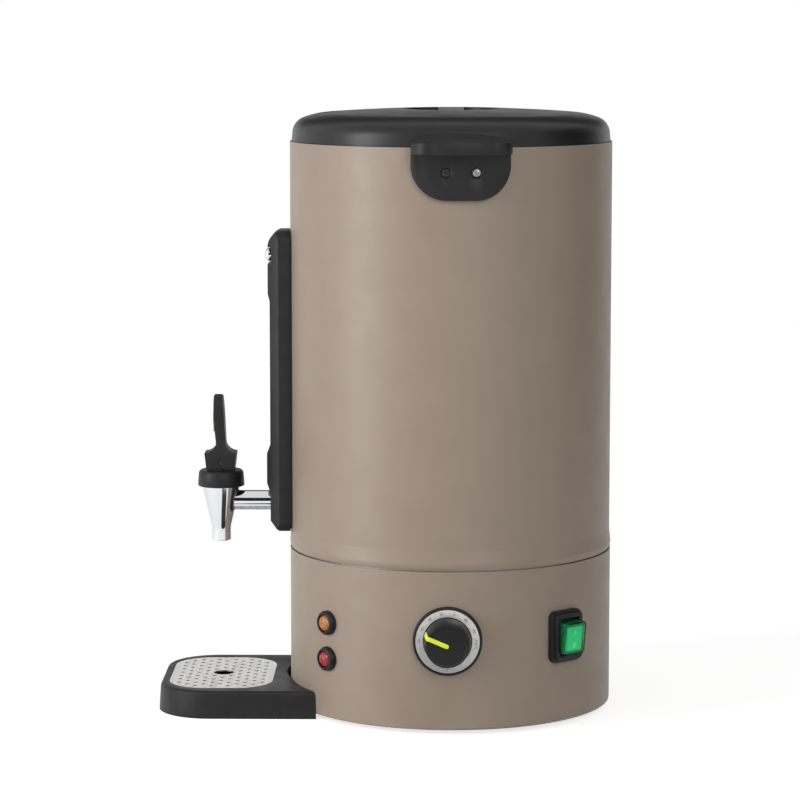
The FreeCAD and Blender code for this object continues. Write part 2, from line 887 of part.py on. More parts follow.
def heat_plate():
    disc = casing_core("heat_disc", "heat_plate_radius", "heat_base", "tank_base - fit_gap")
    stud = rod("heat_stud", "stud_radius", "stud_length", ("0", "0", "heat_base - stud_length"))
    return keep("heat_plate", fuse("heat_plate_fused", [disc, stud]))


def heating_element():
    ring = doc.addObject("Part::Torus", "element_ring")
    bind(ring, "Radius1", "element_circle")
    bind(ring, "Radius2", "element_radius")
    ring.Angle3 = 336
    bind(ring, ".Placement.Base.z", "element_height")
    ring.Placement.Rotation = Rotation(Vector(0, 0, 1), 102)
    legs = []
    for number, angle in enumerate((102, 78)):
        place = (f"element_circle * cos({angle})", f"element_circle * sin({angle})",
                 "element_height - element_leg")
        legs.append(rod(f"element_leg_{number + 1}", "element_radius", "element_leg", place))
        joint = doc.addObject("Part::Sphere", f"element_elbow_{number + 1}")
        bind(joint, "Radius", "element_radius + fit_gap / 2")
        for axis, text in zip("xyz", (place[0], place[1], "element_height")):
            bind(joint, ".Placement.Base." + axis, text)
        legs.append(joint)
    return keep("heating_element", fuse("heating_element_fused", [ring] + legs))


def element_clamp():
    bar = box_solid("clamp_bar", ("-clamp_half_length", "-clamp_half_width", "clamp_top - clamp_thickness"),
                    ("clamp_half_length", "clamp_half_width", "clamp_top"))
    hole = rod("clamp_hole", "stud_radius + fit_gap", "4 * clamp_thickness",
               ("0", "0", "clamp_top - 2 * clamp_thickness"))
    return keep("element_clamp", cut("element_clamp_cut", bar, hole))


def clamp_nut():
    nut = hexagon("clamp_hex", "clamp_nut_radius", "clamp_nut_height")
    bind(nut, ".Placement.Base.z", "clamp_top - clamp_thickness - clamp_nut_height")
    bore = rod("clamp_bore", "stud_radius", "3 * clamp_nut_height",
               ("0", "0", "clamp_top - clamp_thickness - 2 * clamp_nut_height"))
    return keep("clamp_nut", cut("clamp_nut_cut", nut, bore))


def thermal_cutout():
    drop = "heat_base - fit_gap - cutout_height"
    can = rod("cutout_can", "cutout_radius", "cutout_height", ("0", "cutout_place", drop))
    tabs = []
    for number, side in enumerate(("-", "")):
        tabs.append(box_solid(f"cutout_tab_{number + 1}",
                              (f"{side}6 - blade_thickness / 2", "cutout_place - blade_width / 2",
                               f"{drop} - blade_length"),
                              (f"{side}6 + blade_thickness / 2", "cutout_place + blade_width / 2", drop)))
    return keep("thermal_cutout", fuse("thermal_cutout_fused", [can] + tabs))


def thermostat_body():
    """A square switch block behind the panel, bored for the shaft, with two blades at its back."""
    body = new_body("thermostat_block")
    half = "thermostat_size / 2"
    front = "-base_wall - thermostat_back"
    outline = outline_sketch(body, "thermostat_outline", "XY_Plane",
                             box_points(f"-{half}", f"-{half}", half, half), f"{front} - thermostat_depth")
    pad(body, "thermostat_pad", outline, "thermostat_depth")
    blades = new_sketch(body, "thermostat_blades", "XY_Plane", f"{front} - thermostat_depth + 1")
    for place in ("-9", "9"):
        draw_outline(blades, box_points(f"{place} - blade_width / 2", "-blade_thickness / 2",
                                        f"{place} + blade_width / 2", "blade_thickness / 2"))
    pad(body, "thermostat_blade_pad", blades, "blade_length + 1", back=True)
    bore = circle_sketch(body, "thermostat_bore", "XY_Plane", [("0", "0", "shaft_radius + shaft_run")],
                         f"{front} + 1")
    pocket(body, "thermostat_bore_cut", bore, "thermostat_depth / 2")
    body.Placement = wall_frame("dial_azimuth", "dial_height")
    return keep("thermostat_body", body)


def bent_wire(corners, bend):
    """Straight runs through the corners, joined by tangent arcs."""
    edges = []
    start = corners[0]
    for before, corner, after in zip(corners, corners[1:], corners[2:]):
        into = (corner - before).normalize()
        out = (after - corner).normalize()
        half = into.getAngle(out) / 2
        reach = bend * math.tan(half)
        first = corner - into * reach
        last = corner + out * reach
        inward = (out - into).normalize()
        middle = corner + inward * (bend / math.cos(half) - bend)
        edges.append(Part.LineSegment(start, first).toShape())
        edges.append(Part.Arc(first, middle, last).toShape())
        start = last
    edges.append(Part.LineSegment(start, corners[-1]).toShape())
    return Part.Wire(edges)


def swept_tube(path, start, way, radius):
    ring = Part.Wire(Part.makeCircle(radius, start, way))
    return path.makePipeShell([ring], True, False)


def thermostat_probe():
    """The liquid-filled bulb under the heat plate and its capillary down to the thermostat."""
    side = size("probe_place")
    level = size("heat_base - fit_gap - probe_radius")
    head = -size("probe_start")
    tail = head - size("probe_length")
    low = size("capillary_drop")
    inset = -size("capillary_inset")
    top = size("dial_height + thermostat_size / 2 + fit_gap")
    bulb = Part.makeCylinder(size("probe_radius"), size("probe_length"), Vector(side, head, level),
                             Vector(0, -1, 0))
    bend = size("capillary_bend")
    step = 1.5 * bend
    corners = [Vector(side, tail, level), Vector(side, tail - step, level),
               Vector(side, tail - step, low), Vector(side, inset, low), Vector(side, inset, top)]
    path = bent_wire(corners, bend)
    tube = swept_tube(path, corners[0], Vector(0, -1, 0), size("capillary_radius"))
    probe = doc.addObject("Part::Feature", "thermostat_probe_shape")
    probe.Shape = bulb.fuse(tube)
    return keep("thermostat_probe", probe)


def terminal_block():
    low = ("-terminal_length / 2", "terminal_place - terminal_width / 2", "plate_top")
    high = ("terminal_length / 2", "terminal_place + terminal_width / 2", "plate_top + terminal_height")
    block = box_solid("terminal_base", low, high)
    grooves = []
    for number in range(3):
        place = f"({number} - 1) * terminal_length / 4"
        grooves.append(box_solid(f"terminal_groove_{number + 1}",
                                 (f"{place} - terminal_groove / 2", low[1] + " - 1",
                                  "plate_top + terminal_height / 2"),
                                 (f"{place} + terminal_groove / 2", high[1] + " + 1",
                                  "plate_top + terminal_height + 1")))
    return keep("terminal_block", cut("terminal_cut", block, fuse("terminal_tools", grooves)))


# Dial and knob

def on_wall(name, item, azimuth, height):
    """Stand a piece that was made on its own Z axis on the casing, and fit its back to the curve."""
    item.Placement = wall_frame(azimuth, height)
    core = casing_core(name + "_core", "base_radius + fit_gap", f"{height} - 40", f"{height} + 40")
    return cut(name + "_fitted", item, core)


def dial_bezel():
    body = revolved("dial_bezel", [
        ("shaft_radius + slip_gap", "-5"),
        ("dial_radius", "-5"),
        ("dial_radius", "dial_stand - 1"),
        ("dial_radius - 1", "dial_stand"),
        ("scale_outer + fit_gap", "dial_stand"),
        ("scale_outer + fit_gap", "dial_stand - scale_thickness"),
        ("scale_inner - fit_gap", "dial_stand - scale_thickness"),
        ("scale_inner - fit_gap", "dial_stand"),
        ("shaft_radius + slip_gap", "dial_stand"),
    ])
    return keep("dial_bezel", on_wall("dial_bezel", body, "dial_azimuth", "dial_height"))


def dial_scale():
    body = revolved("dial_scale", [
        ("scale_inner", "dial_stand - scale_thickness"),
        ("scale_outer", "dial_stand - scale_thickness"),
        ("scale_outer", "dial_stand + fit_gap"),
        ("scale_inner", "dial_stand + fit_gap"),
    ])
    body.Placement = wall_frame("dial_azimuth", "dial_height")
    return keep("dial_scale", body)


def knob_profile(grow):
    """The knob's outline from its back edge to the centre of its face, moved out by grow."""
    return [
        (f"knob_radius + {grow}", "knob_base"),
        (f"knob_radius + {grow}", "knob_base + knob_skirt"),
        (f"knob_face_radius + {grow}", f"knob_base + knob_height - knob_edge + {grow}", "right",
         f"knob_edge + {grow}"),
        ("knob_face_radius - knob_edge", f"knob_base + knob_height + {grow}"),
        ("0", f"knob_base + knob_height + {grow}"),
    ]


def pointer_blank():
    """A bar from the centre to past the rim, kept to a thin skin over the knob's outline."""
    skin = revolved("pointer_skin", knob_profile("pointer_stand")
                    + [("0", "knob_base + knob_height - pointer_depth"),
                       ("knob_face_radius - 2 * knob_edge", "knob_base + knob_height - pointer_depth"),
                       ("knob_face_radius - 2 * pointer_depth", "knob_base + knob_skirt"),
                       ("knob_face_radius - 2 * pointer_depth", "knob_base")])
    body = new_body("pointer_bar")
    half = "pointer_width / 2"
    points = [
        ("0", f"-{half}"),
        ("2 * knob_radius", f"-{half}"),
        ("2 * knob_radius", half),
        ("0", half, "left", f"{half} * 1.001"),
    ]
    bar = outline_sketch(body, "pointer_bar_outline", "XY_Plane", points, "knob_base + knob_skirt")
    pad(body, "pointer_bar_pad", bar, "2 * knob_height")
    return common("pointer_common", [skin, body])


def control_knob():
    """The knob, cut for its shaft and for the pointer that is let into its face and side."""
    body = revolved("knob_solid", [("0", "knob_base")] + knob_profile("0"))
    bore = rod("knob_bore", "shaft_radius", "knob_bore_top", ("0", "0", "0"))
    pointer = pointer_blank()
    knob = cut("knob_cut", body, fuse("knob_tools", [bore, pointer]))
    turned = Placement(Vector(), Rotation(Vector(0, 0, 1), size("pointer_angle")))
    frame = wall_frame("dial_azimuth", "dial_height").multiply(turned)
    knob.Placement = frame
    keep("control_knob", knob)
    strip = doc.addObject("Part::Compound", "knob_pointer_strip")
    strip.Links = [pointer]
    strip.Placement = frame
    return keep("knob_pointer", strip)


def thermostat_shaft():
    return keep("thermostat_shaft", wall_rod("thermostat_shaft_rod", "shaft_radius", "dial_azimuth",
                                             "dial_height", "-shaft_inset", "knob_bore_top - fit_gap"))


# Signal lamps

def lamp_pieces(name, points, fitted=False):
    """The same turned piece at each of the two lamps."""
    pieces = []
    for tint in ("amber", "red"):
        body = revolved(f"{name}_{tint}", points)
        if fitted:
            pieces.append(on_wall(f"{name}_{tint}", body, "lamp_azimuth", f"{tint}_height"))
            continue
        body.Placement = wall_frame("lamp_azimuth", f"{tint}_height")
        pieces.append(body)
    return pieces


def lamp_bezels():
    pieces = lamp_pieces("lamp_bezel", [
        ("lens_radius + fit_gap", "-2"),
        ("lamp_radius", "-2"),
        ("lamp_radius", "lamp_stand - lamp_round", "right", "lamp_round"),
        ("lamp_radius - lamp_round", "lamp_stand"),
        ("lens_radius + fit_gap", "lamp_stand"),
    ], True)
    return keep("lamp_bezels", group("lamp_bezels_group", pieces))


def lamp_lenses():
    dome = "(lens_radius^2 + lens_dome^2) / (2 * lens_dome)"
    pieces = lamp_pieces("lamp_lens", [
        ("0", "1.6"),
        ("lens_radius", "1.6"),
        ("lens_radius", "lens_stand - lens_dome", "right", dome),
        ("0", "lens_stand"),
    ])
    keep("amber_lens", pieces[0])
    return keep("red_lens", pieces[1])


def lamp_housings():
    pieces = lamp_pieces("lamp_housing", [
        ("0", "-lamp_body_length"),
        ("lamp_body_radius", "-lamp_body_length"),
        ("lamp_body_radius", "1.5"),
        ("0", "1.5"),
    ])
    return keep("lamp_housings", group("lamp_housings_group", pieces))


def lamp_nuts():
    nuts = []
    for tint in ("amber", "red"):
        nut = hexagon(f"lamp_hex_{tint}", "lamp_nut_radius", "lamp_nut_height")
        bore = rod(f"lamp_nut_bore_{tint}", "lamp_body_radius + fit_gap / 2", "3 * lamp_nut_height",
                   ("0", "0", "-lamp_nut_height"))
        ring = cut(f"lamp_nut_{tint}", nut, bore)
        inset = size("lamp_nut_height + base_wall + slip_gap")
        frame = wall_frame("lamp_azimuth", f"{tint}_height")
        ring.Placement = frame.multiply(Placement(Vector(0, 0, -inset), Rotation()))
        nuts.append(ring)
    return keep("lamp_nuts", group("lamp_nuts_group", nuts))


# Rocker switch

def half_box(width, height, corner):
    return rounded_box(f"-({width}) / 2", f"-({height}) / 2", f"({width}) / 2", f"({height}) / 2", corner)


def switch_frame():
    body = new_body("switch_frame_body")
    flange = outline_sketch(body, "frame_outline", "XY_Plane",
                            half_box("frame_width", "frame_height", "frame_corner"), "-3")
    pad(body, "frame_flange", flange, "frame_stand + 3")
    collar = outline_sketch(body, "collar_outline", "XY_Plane",
                            half_box("collar_width", "collar_height", "collar_corner"), "frame_stand - 1")
    pad(body, "frame_collar", collar, "collar_stand - frame_stand + 1")
    window = outline_sketch(body, "window_outline", "XY_Plane",
                            half_box("boot_width + 2 * slip_gap", "boot_height + 2 * boot_play",
                                     "boot_corner"), "collar_stand + 1")
    pocket(body, "frame_window", window, "collar_stand + 6")
    fitted = on_wall("switch_frame", body, "switch_azimuth", "switch_height")
    holes = doc.addObject("Part::Cylinder", "pivot_hole")
    bind(holes, "Radius", "pivot_radius + shaft_run")
    bind(holes, "Height", "boot_width + 6")
    start = Placement(Vector(-size("boot_width + 6") / 2, 0, size("pivot_stand")),
                      Rotation(Vector(0, 1, 0), 90))
    holes.Placement = wall_frame("switch_azimuth", "switch_height").multiply(start)
    return keep("switch_frame", cut("switch_frame_cut", fitted, holes))


def switch_housing():
    body = new_body("switch_housing_body")
    wide = "housing_wide - 2 * fit_gap"
    tall = "housing_tall - 2 * fit_gap"
    block = outline_sketch(body, "housing_outline", "XY_Plane", half_box(wide, tall, "boot_corner"),
                           "-housing_length")
    pad(body, "housing_block", block, "housing_length")
    well = outline_sketch(body, "housing_well_outline", "XY_Plane",
                          box_points(f"-({wide}) / 2 + housing_wall", f"-({tall}) / 2 + housing_wall",
                                     f"({wide}) / 2 - housing_wall", f"({tall}) / 2 - housing_wall"), "1")
    pocket(body, "housing_well", well, "housing_floor + 1")
    blades = new_sketch(body, "blade_outlines", "XY_Plane", "-housing_length + 1")
    for column in ("-5", "5"):
        for row in ("-8", "8"):
            draw_outline(blades, box_points(f"{column} - blade_width / 2", f"{row} - blade_thickness / 2",
                                            f"{column} + blade_width / 2", f"{row} + blade_thickness / 2"))
    pad(body, "housing_blades", blades, "blade_length + 1", back=True)
    body.Placement = wall_frame("switch_azimuth", "switch_height")
    return keep("switch_housing", body)


def rocker_frame():
    """The switch frame's placement, tilted about the pivot to the off position."""
    pivot = Placement(Vector(0, 0, size("pivot_stand")), Rotation(Vector(1, 0, 0), size("rocker_tilt")))
    return wall_frame("switch_azimuth", "switch_height").multiply(pivot)


def switch_rocker():
    body = new_body("switch_rocker_body")
    side = outline_sketch(body, "rocker_side", "YZ_Plane", [
        ("-rocker_tall / 2", "boot_base - pivot_stand"),
        ("-rocker_tall / 2 + 3", "rocker_base - pivot_stand"),
        ("rocker_tall / 2 - 3", "rocker_base - pivot_stand"),
        ("rocker_tall / 2", "boot_base - pivot_stand"),
        ("rocker_tall / 2", "rocker_top"),
        ("-rocker_tall / 2", "rocker_top"),
    ])
    pad(body, "rocker_block", side, "rocker_wide", both=True)
    pins = circle_sketch(body, "rocker_pin_circle", "YZ_Plane", [("0", "0", "pivot_radius")])
    pad(body, "rocker_pins", pins, "boot_width + 2 * slip_gap + 2 * housing_wall", both=True)
    body.Placement = rocker_frame()
    return keep("switch_rocker", body)


def switch_boot():
    body = new_body("switch_boot_body")
    outer = outline_sketch(body, "boot_outline", "XY_Plane",
                           half_box("boot_width", "boot_height", "boot_corner"), "boot_base - pivot_stand")
    pad(body, "boot_block", outer, "boot_top - boot_base")
    inner = outline_sketch(body, "boot_inside", "XY_Plane",
                           box_points("-rocker_wide / 2 - fit_gap", "-rocker_tall / 2 - fit_gap",
                                      "rocker_wide / 2 + fit_gap", "rocker_tall / 2 + fit_gap"),
                           "boot_base - pivot_stand - 1")
    pocket(body, "boot_hollow", inner, "rocker_top + fit_gap - boot_base + pivot_stand + 1", back=True)
    body.Placement = rocker_frame()
    return keep("switch_boot", body)


# Sight gauge

def cover_profile(inset, head):
    """The gauge cover seen from the side, from its back edge round by the head, bump and toe."""
    return [
        (f"-shell_radius + {inset} + 6", f"cover_bottom + {inset}"),
        (f"-shell_radius + {inset} + 6", f"cover_top - {inset}"),
        (f"-({head}) + head_inset", f"cover_top - {inset}", "right", "head_round"),
        (f"-({head})", "cover_top - head_round"),
        (f"-({head})", "head_bottom + head_slope"),
        (f"-cover_front + {inset}", "head_bottom"),
        (f"-cover_front + {inset}", "bump_top + bump_run"),
        (f"-bump_front + {inset}", "bump_top"),
        (f"-bump_front + {inset}", "bump_bottom"),
        (f"-cover_front + {inset}", "bump_bottom - bump_run"),
        (f"-cover_front + {inset}", "toe_top"),
        (f"-toe_front + {inset} / 2", f"cover_bottom + {inset}"),
    ]


def gauge_cover():
    """A long moulding with faceted sides, hollow behind, that hides the sight glass and the tap's root."""
    body = new_body("gauge_cover_body")
    side = outline_sketch(body, "cover_side", "XZ_Plane", cover_profile("0", "head_front"))
    pad(body, "cover_block", side, "2 * cover_half_width", both=True)
    facets = new_sketch(body, "cover_facets", "XY_Plane", "cover_bottom - 5")
    for sign in ("", "-"):
        corner = [
            ("-bump_front - 5", f"{sign}cover_half_width"),
            ("-toe_front", f"{sign}cover_half_width"),
            ("-bump_front", f"{sign}facet_start"),
            ("-bump_front - 5", f"{sign}facet_start"),
        ]
        draw_outline(facets, corner)
    pocket(body, "cover_facet_cuts", facets, "cover_top - cover_bottom + 10", back=True)
    hollow = outline_sketch(body, "cover_hollow_side", "XZ_Plane",
                            cover_profile("cover_wall", "screw_seat - channel_web"))
    pocket(body, "cover_hollow", hollow, "2 * (facet_start + cover_wall / 2)", both=True)
    window = outline_sketch(body, "cover_window_outline", "YZ_Plane",
                            rounded_box("-window_width / 2", "window_bottom", "window_width / 2",
                                        "window_top", "window_width / 2.001"), "-glass_place")
    pocket(body, "cover_window", window, "40")
    round_holes = circle_sketch(body, "cover_holes", "YZ_Plane",
                                [("0", "pipe_height", "pipe_hole"),
                                 ("0", "gauge_screw_height", "gauge_screw_radius + 2 * fit_gap")],
                                "-glass_place")
    pocket(body, "cover_hole_cuts", round_holes, "40")
    channel = outline_sketch(body, "cover_channel_outline", "XZ_Plane",
                             rounded_box("-head_front - 10", "gauge_screw_height - channel_half",
                                         "-screw_seat", "gauge_screw_height + channel_half",
                                         "channel_round"))
    pocket(body, "cover_channel", channel, "3 * cover_half_width", both=True)
    outline = new_body("gauge_cover_outline")
    front = outline_sketch(outline, "cover_front_view", "YZ_Plane",
                           rounded_box("-cover_half_width", "cover_bottom", "cover_half_width", "cover_top",
                                       "cover_end_round"), "-bump_front - 10")
    pad(outline, "cover_front_pad", front, "bump_front - shell_radius + 30")
    blank = common("cover_blank", [body, outline])
    core = casing_core("cover_core", "cover_back", "cover_bottom - 5", "cover_top + 5")
    swage = casing_core("cover_swage_core", "cover_back + swage_stand", "shell_bottom - 20",
                        "shell_bottom + swage_height")
    return keep("gauge_cover", cut("gauge_cover_cut", blank, fuse("cover_cores", [core, swage])))


def gauge_axis_part(name, points):
    """A piece turned about the sight glass's own upright axis."""
    body = revolved(name, points)
    bind(body, ".Placement.Base.x", "-glass_place")
    return body


def gauge_tube():
    return keep("gauge_tube", gauge_axis_part("gauge_tube", [
        ("glass_radius - glass_wall", "glass_bottom"),
        ("glass_radius", "glass_bottom"),
        ("glass_radius", "glass_top"),
        ("glass_radius - glass_wall", "glass_top"),
    ]))


def gauge_tee():
    boss = gauge_axis_part("tee_boss", [
        ("0", "pipe_height"),
        ("boss_radius", "pipe_height"),
        ("boss_radius", "boss_top"),
        ("glass_radius + fit_gap", "boss_top"),
        ("glass_radius + fit_gap", "glass_bottom - fit_gap"),
        ("0", "glass_bottom - fit_gap"),
    ])
    start = "-glass_place - tee_half"
    sleeve = rod("tee_sleeve", "tee_radius", "2 * tee_half", (start, "0", "pipe_height"), "x")
    bore = rod("tee_bore", "pipe_radius + fit_gap / 2", "2 * tee_half + 10",
               (start + " - 5", "0", "pipe_height"), "x")
    port = rod("tee_port", "glass_radius - glass_wall", "20", ("-glass_place", "0", "pipe_height"))
    solid = fuse("tee_fused", [boss, sleeve])
    return keep("gauge_tee", cut("gauge_tee_cut", solid, fuse("tee_tools", [bore, port])))


def gauge_nut():
    low = "boss_top + gauge_seal + fit_gap + gauge_nut_web - gauge_nut_height"
    return keep("gauge_nut", gauge_axis_part("gauge_nut", [
        ("boss_radius + fit_gap / 2", low),
        ("gauge_nut_radius", low),
        ("gauge_nut_radius", "boss_top + gauge_seal + fit_gap + gauge_nut_web"),
        ("glass_radius + fit_gap", "boss_top + gauge_seal + fit_gap + gauge_nut_web"),
        ("glass_radius + fit_gap", "boss_top + gauge_seal + fit_gap"),
        ("boss_radius + fit_gap / 2", "boss_top + gauge_seal + fit_gap"),
    ]))


def gauge_seals():
    pieces = []
    for name, low in (("lower_seal", "boss_top"), ("upper_seal", "cap_bottom - gauge_seal - fit_gap")):
        pieces.append(gauge_axis_part(name, [
            ("glass_radius + fit_gap / 2", low),
            ("boss_radius", low),
            ("boss_radius", f"{low} + gauge_seal"),
            ("glass_radius + fit_gap / 2", f"{low} + gauge_seal"),
        ]))
    return keep("gauge_seals", group("gauge_seals_group", pieces))


def gauge_cap():
    return keep("gauge_cap", gauge_axis_part("gauge_cap", [
        ("glass_radius + fit_gap / 2", "cap_bottom"),
        ("cap_radius", "cap_bottom"),
        ("cap_radius", "cap_top"),
        ("0", "cap_top"),
        ("0", "glass_top + fit_gap"),
        ("glass_radius + fit_gap / 2", "glass_top + fit_gap"),
    ]))


def gauge_bracket():
    """The block on the casing that the cover's screw goes into."""
    low = ("-shell_radius - bracket_reach", "-bracket_half_width", "bracket_low")
    high = ("-shell_radius + 5", "bracket_half_width", "bracket_low + bracket_height")
    block = box_solid("bracket_block", low, high)
    core = casing_core("bracket_core", "shell_radius + fit_gap", "bracket_low - 5",
                       "bracket_low + bracket_height + 5")
    hole = rod("bracket_hole", "gauge_screw_radius + fit_gap / 2", "2 * bracket_reach",
               ("-shell_radius - 1.5 * bracket_reach", "0", "gauge_screw_height"), "x")
    return keep("gauge_bracket", cut("gauge_bracket_cut", block, fuse("bracket_tools", [core, hole])))


def gauge_screw():
    """A tall domed screw that stands in the cover's channel."""
    bulge = "(gauge_screw_head^2 + gauge_screw_dome^2) / (2 * gauge_screw_dome)"
    body = revolved("gauge_screw", [
        ("0", "-gauge_screw_length"),
        ("gauge_screw_radius", "-gauge_screw_length"),
        ("gauge_screw_radius", "0"),
        ("gauge_screw_head", "0"),
        ("gauge_screw_head", "gauge_screw_rim", "right", bulge),
        ("0", "gauge_screw_rim + gauge_screw_dome"),
    ])
    body.Placement = Placement(Vector(-size("screw_seat + fit_gap"), 0, size("gauge_screw_height")),
                               Rotation(Vector(0, 1, 0), -90))
    return keep("gauge_screw", body)


# Tap

def tap_axis_part(name, points):
    body = revolved(name, points)
    bind(body, ".Placement.Base.x", "-tap_place")
    return body


def tap_body():
    outside = tap_axis_part("tap_outside", [
        ("0", "spout_bottom"),
        ("spout_radius", "spout_bottom"),
        ("spout_radius", "spout_bottom + spout_straight"),
        ("cone_radius", "cone_top"),
        ("neck_radius", "cone_top"),
        ("neck_radius", "neck_top"),
        ("0", "neck_top"),
    ])
    pipe = rod("tap_pipe", "pipe_radius", "tap_place - pipe_end", ("-tap_place", "0", "pipe_height"), "x")
    inside = tap_axis_part("tap_inside", [
        ("0", "spout_bottom - 1"),
        ("spout_bore", "spout_bottom - 1"),
        ("spout_bore", "seat_height"),
        ("chamber_foot", "seat_height + chamber_step"),
        ("chamber_radius", "cone_top"),
        ("chamber_radius", "neck_top + 1"),
        ("0", "neck_top + 1"),
    ])
    bore = rod("tap_pipe_bore", "pipe_bore", "tap_place", ("-tap_place", "0", "pipe_height"), "x")
    port = rod("tap_port", "glass_radius - glass_wall", "20", ("-glass_place", "0", "pipe_height"))
    solid = fuse("tap_solid", [outside, pipe])
    return keep("tap_body", cut("tap_body_cut", solid, fuse("tap_tools", [inside, bore, port])))


def tap_collar():
    return keep("tap_collar", tap_axis_part("tap_collar", [
        ("cone_radius + fit_gap", "collar_bottom"),
        ("collar_radius - 0.3", "collar_bottom"),
        ("collar_radius", "collar_bottom + 1"),
        ("collar_radius - collar_draft", "collar_top - collar_round", "right", "collar_round"),
        ("collar_radius - collar_draft - collar_round", "collar_top"),
        ("collar_bore", "collar_top"),
        ("collar_bore", "collar_top - collar_web"),
        ("neck_radius + fit_gap / 2", "collar_top - collar_web"),
        ("neck_radius + fit_gap / 2", "cone_top + fit_gap"),
        ("cone_radius + fit_gap", "cone_top + fit_gap"),
    ]))


def tap_stem():
    body = tap_axis_part("tap_stem", [
        ("0", "seat_height + cup_floor"),
        ("stem_radius", "seat_height + cup_floor"),
        ("stem_radius", "collar_top + slip_gap"),
        ("stem_head_radius", "collar_top + slip_gap"),
        ("stem_head_radius", "stem_top"),
        ("0", "stem_top"),
    ])
    hole = rod("stem_hole", "pin_radius", "20", ("-tap_place", "-10", "pin_height"), "y")
    return keep("tap_stem", cut("tap_stem_cut", body, hole))


def tap_seat():
    low = "seat_height + slip_gap / 2"
    return keep("tap_seat", tap_axis_part("tap_seat", [
        ("0", low),
        ("spout_bore - slip_gap", low),
        ("cup_radius", f"{low} + cup_bevel"),
        ("cup_radius", f"{low} + cup_height"),
        ("stem_radius", f"{low} + cup_height"),
        ("stem_radius", "seat_height + cup_floor"),
        ("0", "seat_height + cup_floor"),
    ]))


def tap_spring():
    """The closing spring between the seat cup and the collar's web.

    Each half turn is half a torus tilted about Y. Its ends point straight along Y, so it meets the next half
    squarely, and the halves climb in a zigzag as a wound wire does.
    """
    low = size("seat_height + slip_gap / 2 + cup_height + fit_gap + spring_wire")
    high = size("collar_top - collar_web - fit_gap - spring_wire")
    halves = int(2 * size("spring_turns"))
    climb = (high - low) / halves
    tilt = math.degrees(math.atan2(climb, 2 * size("spring_radius")))
    coil = []
    for number in range(halves):
        half = doc.addObject("Part::Torus", f"spring_half_{number + 1}")
        bind(half, "Radius1", f"spring_radius / cos({tilt})")
        bind(half, "Radius2", "spring_wire")
        half.Angle3 = 180
        side = 1 if number % 2 == 0 else -1
        place = Vector(-size("tap_place"), 0, low + (number + 0.5) * climb)
        lean = Rotation(Vector(0, 1, 0), side * tilt)
        half.Placement = Placement(place, lean.multiply(Rotation(90 - 90 * side, 0, 0)))
        coil.append(half)
    return keep("tap_spring", fuse("tap_spring_coil", coil))


def lever_pin():
    length = "2 * skirt_half_depth - 2 * slip_gap"
    pin = rod("lever_pin_rod", "pin_radius", length,
              ("-tap_place", f"-({length}) / 2", "pin_height"), "y")
    return keep("lever_pin", pin)


def lever_inset_solid(name, depth, grow):
    """The oval strip let into the outer face of the lever."""
    body = new_body(name)
    outline = outline_sketch(body, name + "_outline", "YZ_Plane",
                             rounded_box(f"-inset_half_width - {grow}", f"inset_bottom - {grow}",
                                         f"inset_half_width + {grow}", f"inset_top + {grow}",
                                         f"inset_half_width + {grow} - 0.01"),
                             "-grip_front + inset_thickness - inset_stand")
    pad(body, name + "_pad", outline, depth, back=True)
    bind(body, ".Placement.Base.x", "-tap_place")
    return body


def tap_lever():
    side = new_body("lever_side_body")
    outline = outline_sketch(side, "lever_side", "XZ_Plane", [
        ("-skirt_half_bottom", "lever_bottom"),
        ("skirt_half_bottom", "lever_bottom"),
        ("skirt_half_top", "skirt_top", "left", "shoulder_radius"),
        ("neck_back", "shoulder_top"),
        ("grip_back", "grip_height"),
        ("tip_back", "lever_top - 1"),
        ("tip_back - 1", "lever_top"),
        ("-tip_front + 1", "lever_top"),
        ("-tip_front", "lever_top - 1"),
        ("-grip_front", "grip_height"),
        ("-neck_front", "shoulder_top", "left", "shoulder_radius"),
        ("-skirt_half_top", "skirt_top"),
    ])
    pad(side, "lever_side_pad", outline, "2 * skirt_half_depth", both=True)
    bind(side, ".Placement.Base.x", "-tap_place")
    front = new_body("lever_front_body")
    half = "paddle_half_depth"
    plan = outline_sketch(front, "lever_front", "YZ_Plane", [
        ("-skirt_half_depth", "lever_bottom"),
        ("skirt_half_depth", "lever_bottom"),
        ("skirt_half_depth", "skirt_top"),
        ("neck_half_depth", "shoulder_top + 3"),
        (half, "grip_height"),
        (half, f"lever_top - {half}", "right", half),
        ("0", "lever_top", "right", half),
        (f"-{half}", f"lever_top - {half}"),
        (f"-{half}", "grip_height"),
        ("-neck_half_depth", "shoulder_top + 3"),
        ("-skirt_half_depth", "skirt_top"),
    ])
    pad(front, "lever_front_pad", plan, "4 * skirt_half_top", both=True)
    bind(front, ".Placement.Base.x", "-tap_place")
    blank = common("lever_blank", [side, front])
    slot = box_solid("lever_slot",
                     ("-tap_place - slot_half_width", "-slot_half_depth", "lever_bottom - 1"),
                     ("-tap_place + slot_half_width", "slot_half_depth", "slot_top"))
    hole = rod("lever_hole", "pin_radius + pin_run", "4 * skirt_half_depth",
               ("-tap_place", "-2 * skirt_half_depth", "pin_height"), "y")
    seat = lever_inset_solid("lever_inset_seat", "5", "fit_gap / 2")
    keep("lever_inset", lever_inset_solid("lever_inset_strip", "inset_thickness", "0"))
    return keep("tap_lever", cut("tap_lever_cut", blank, fuse("lever_tools", [slot, hole, seat])))


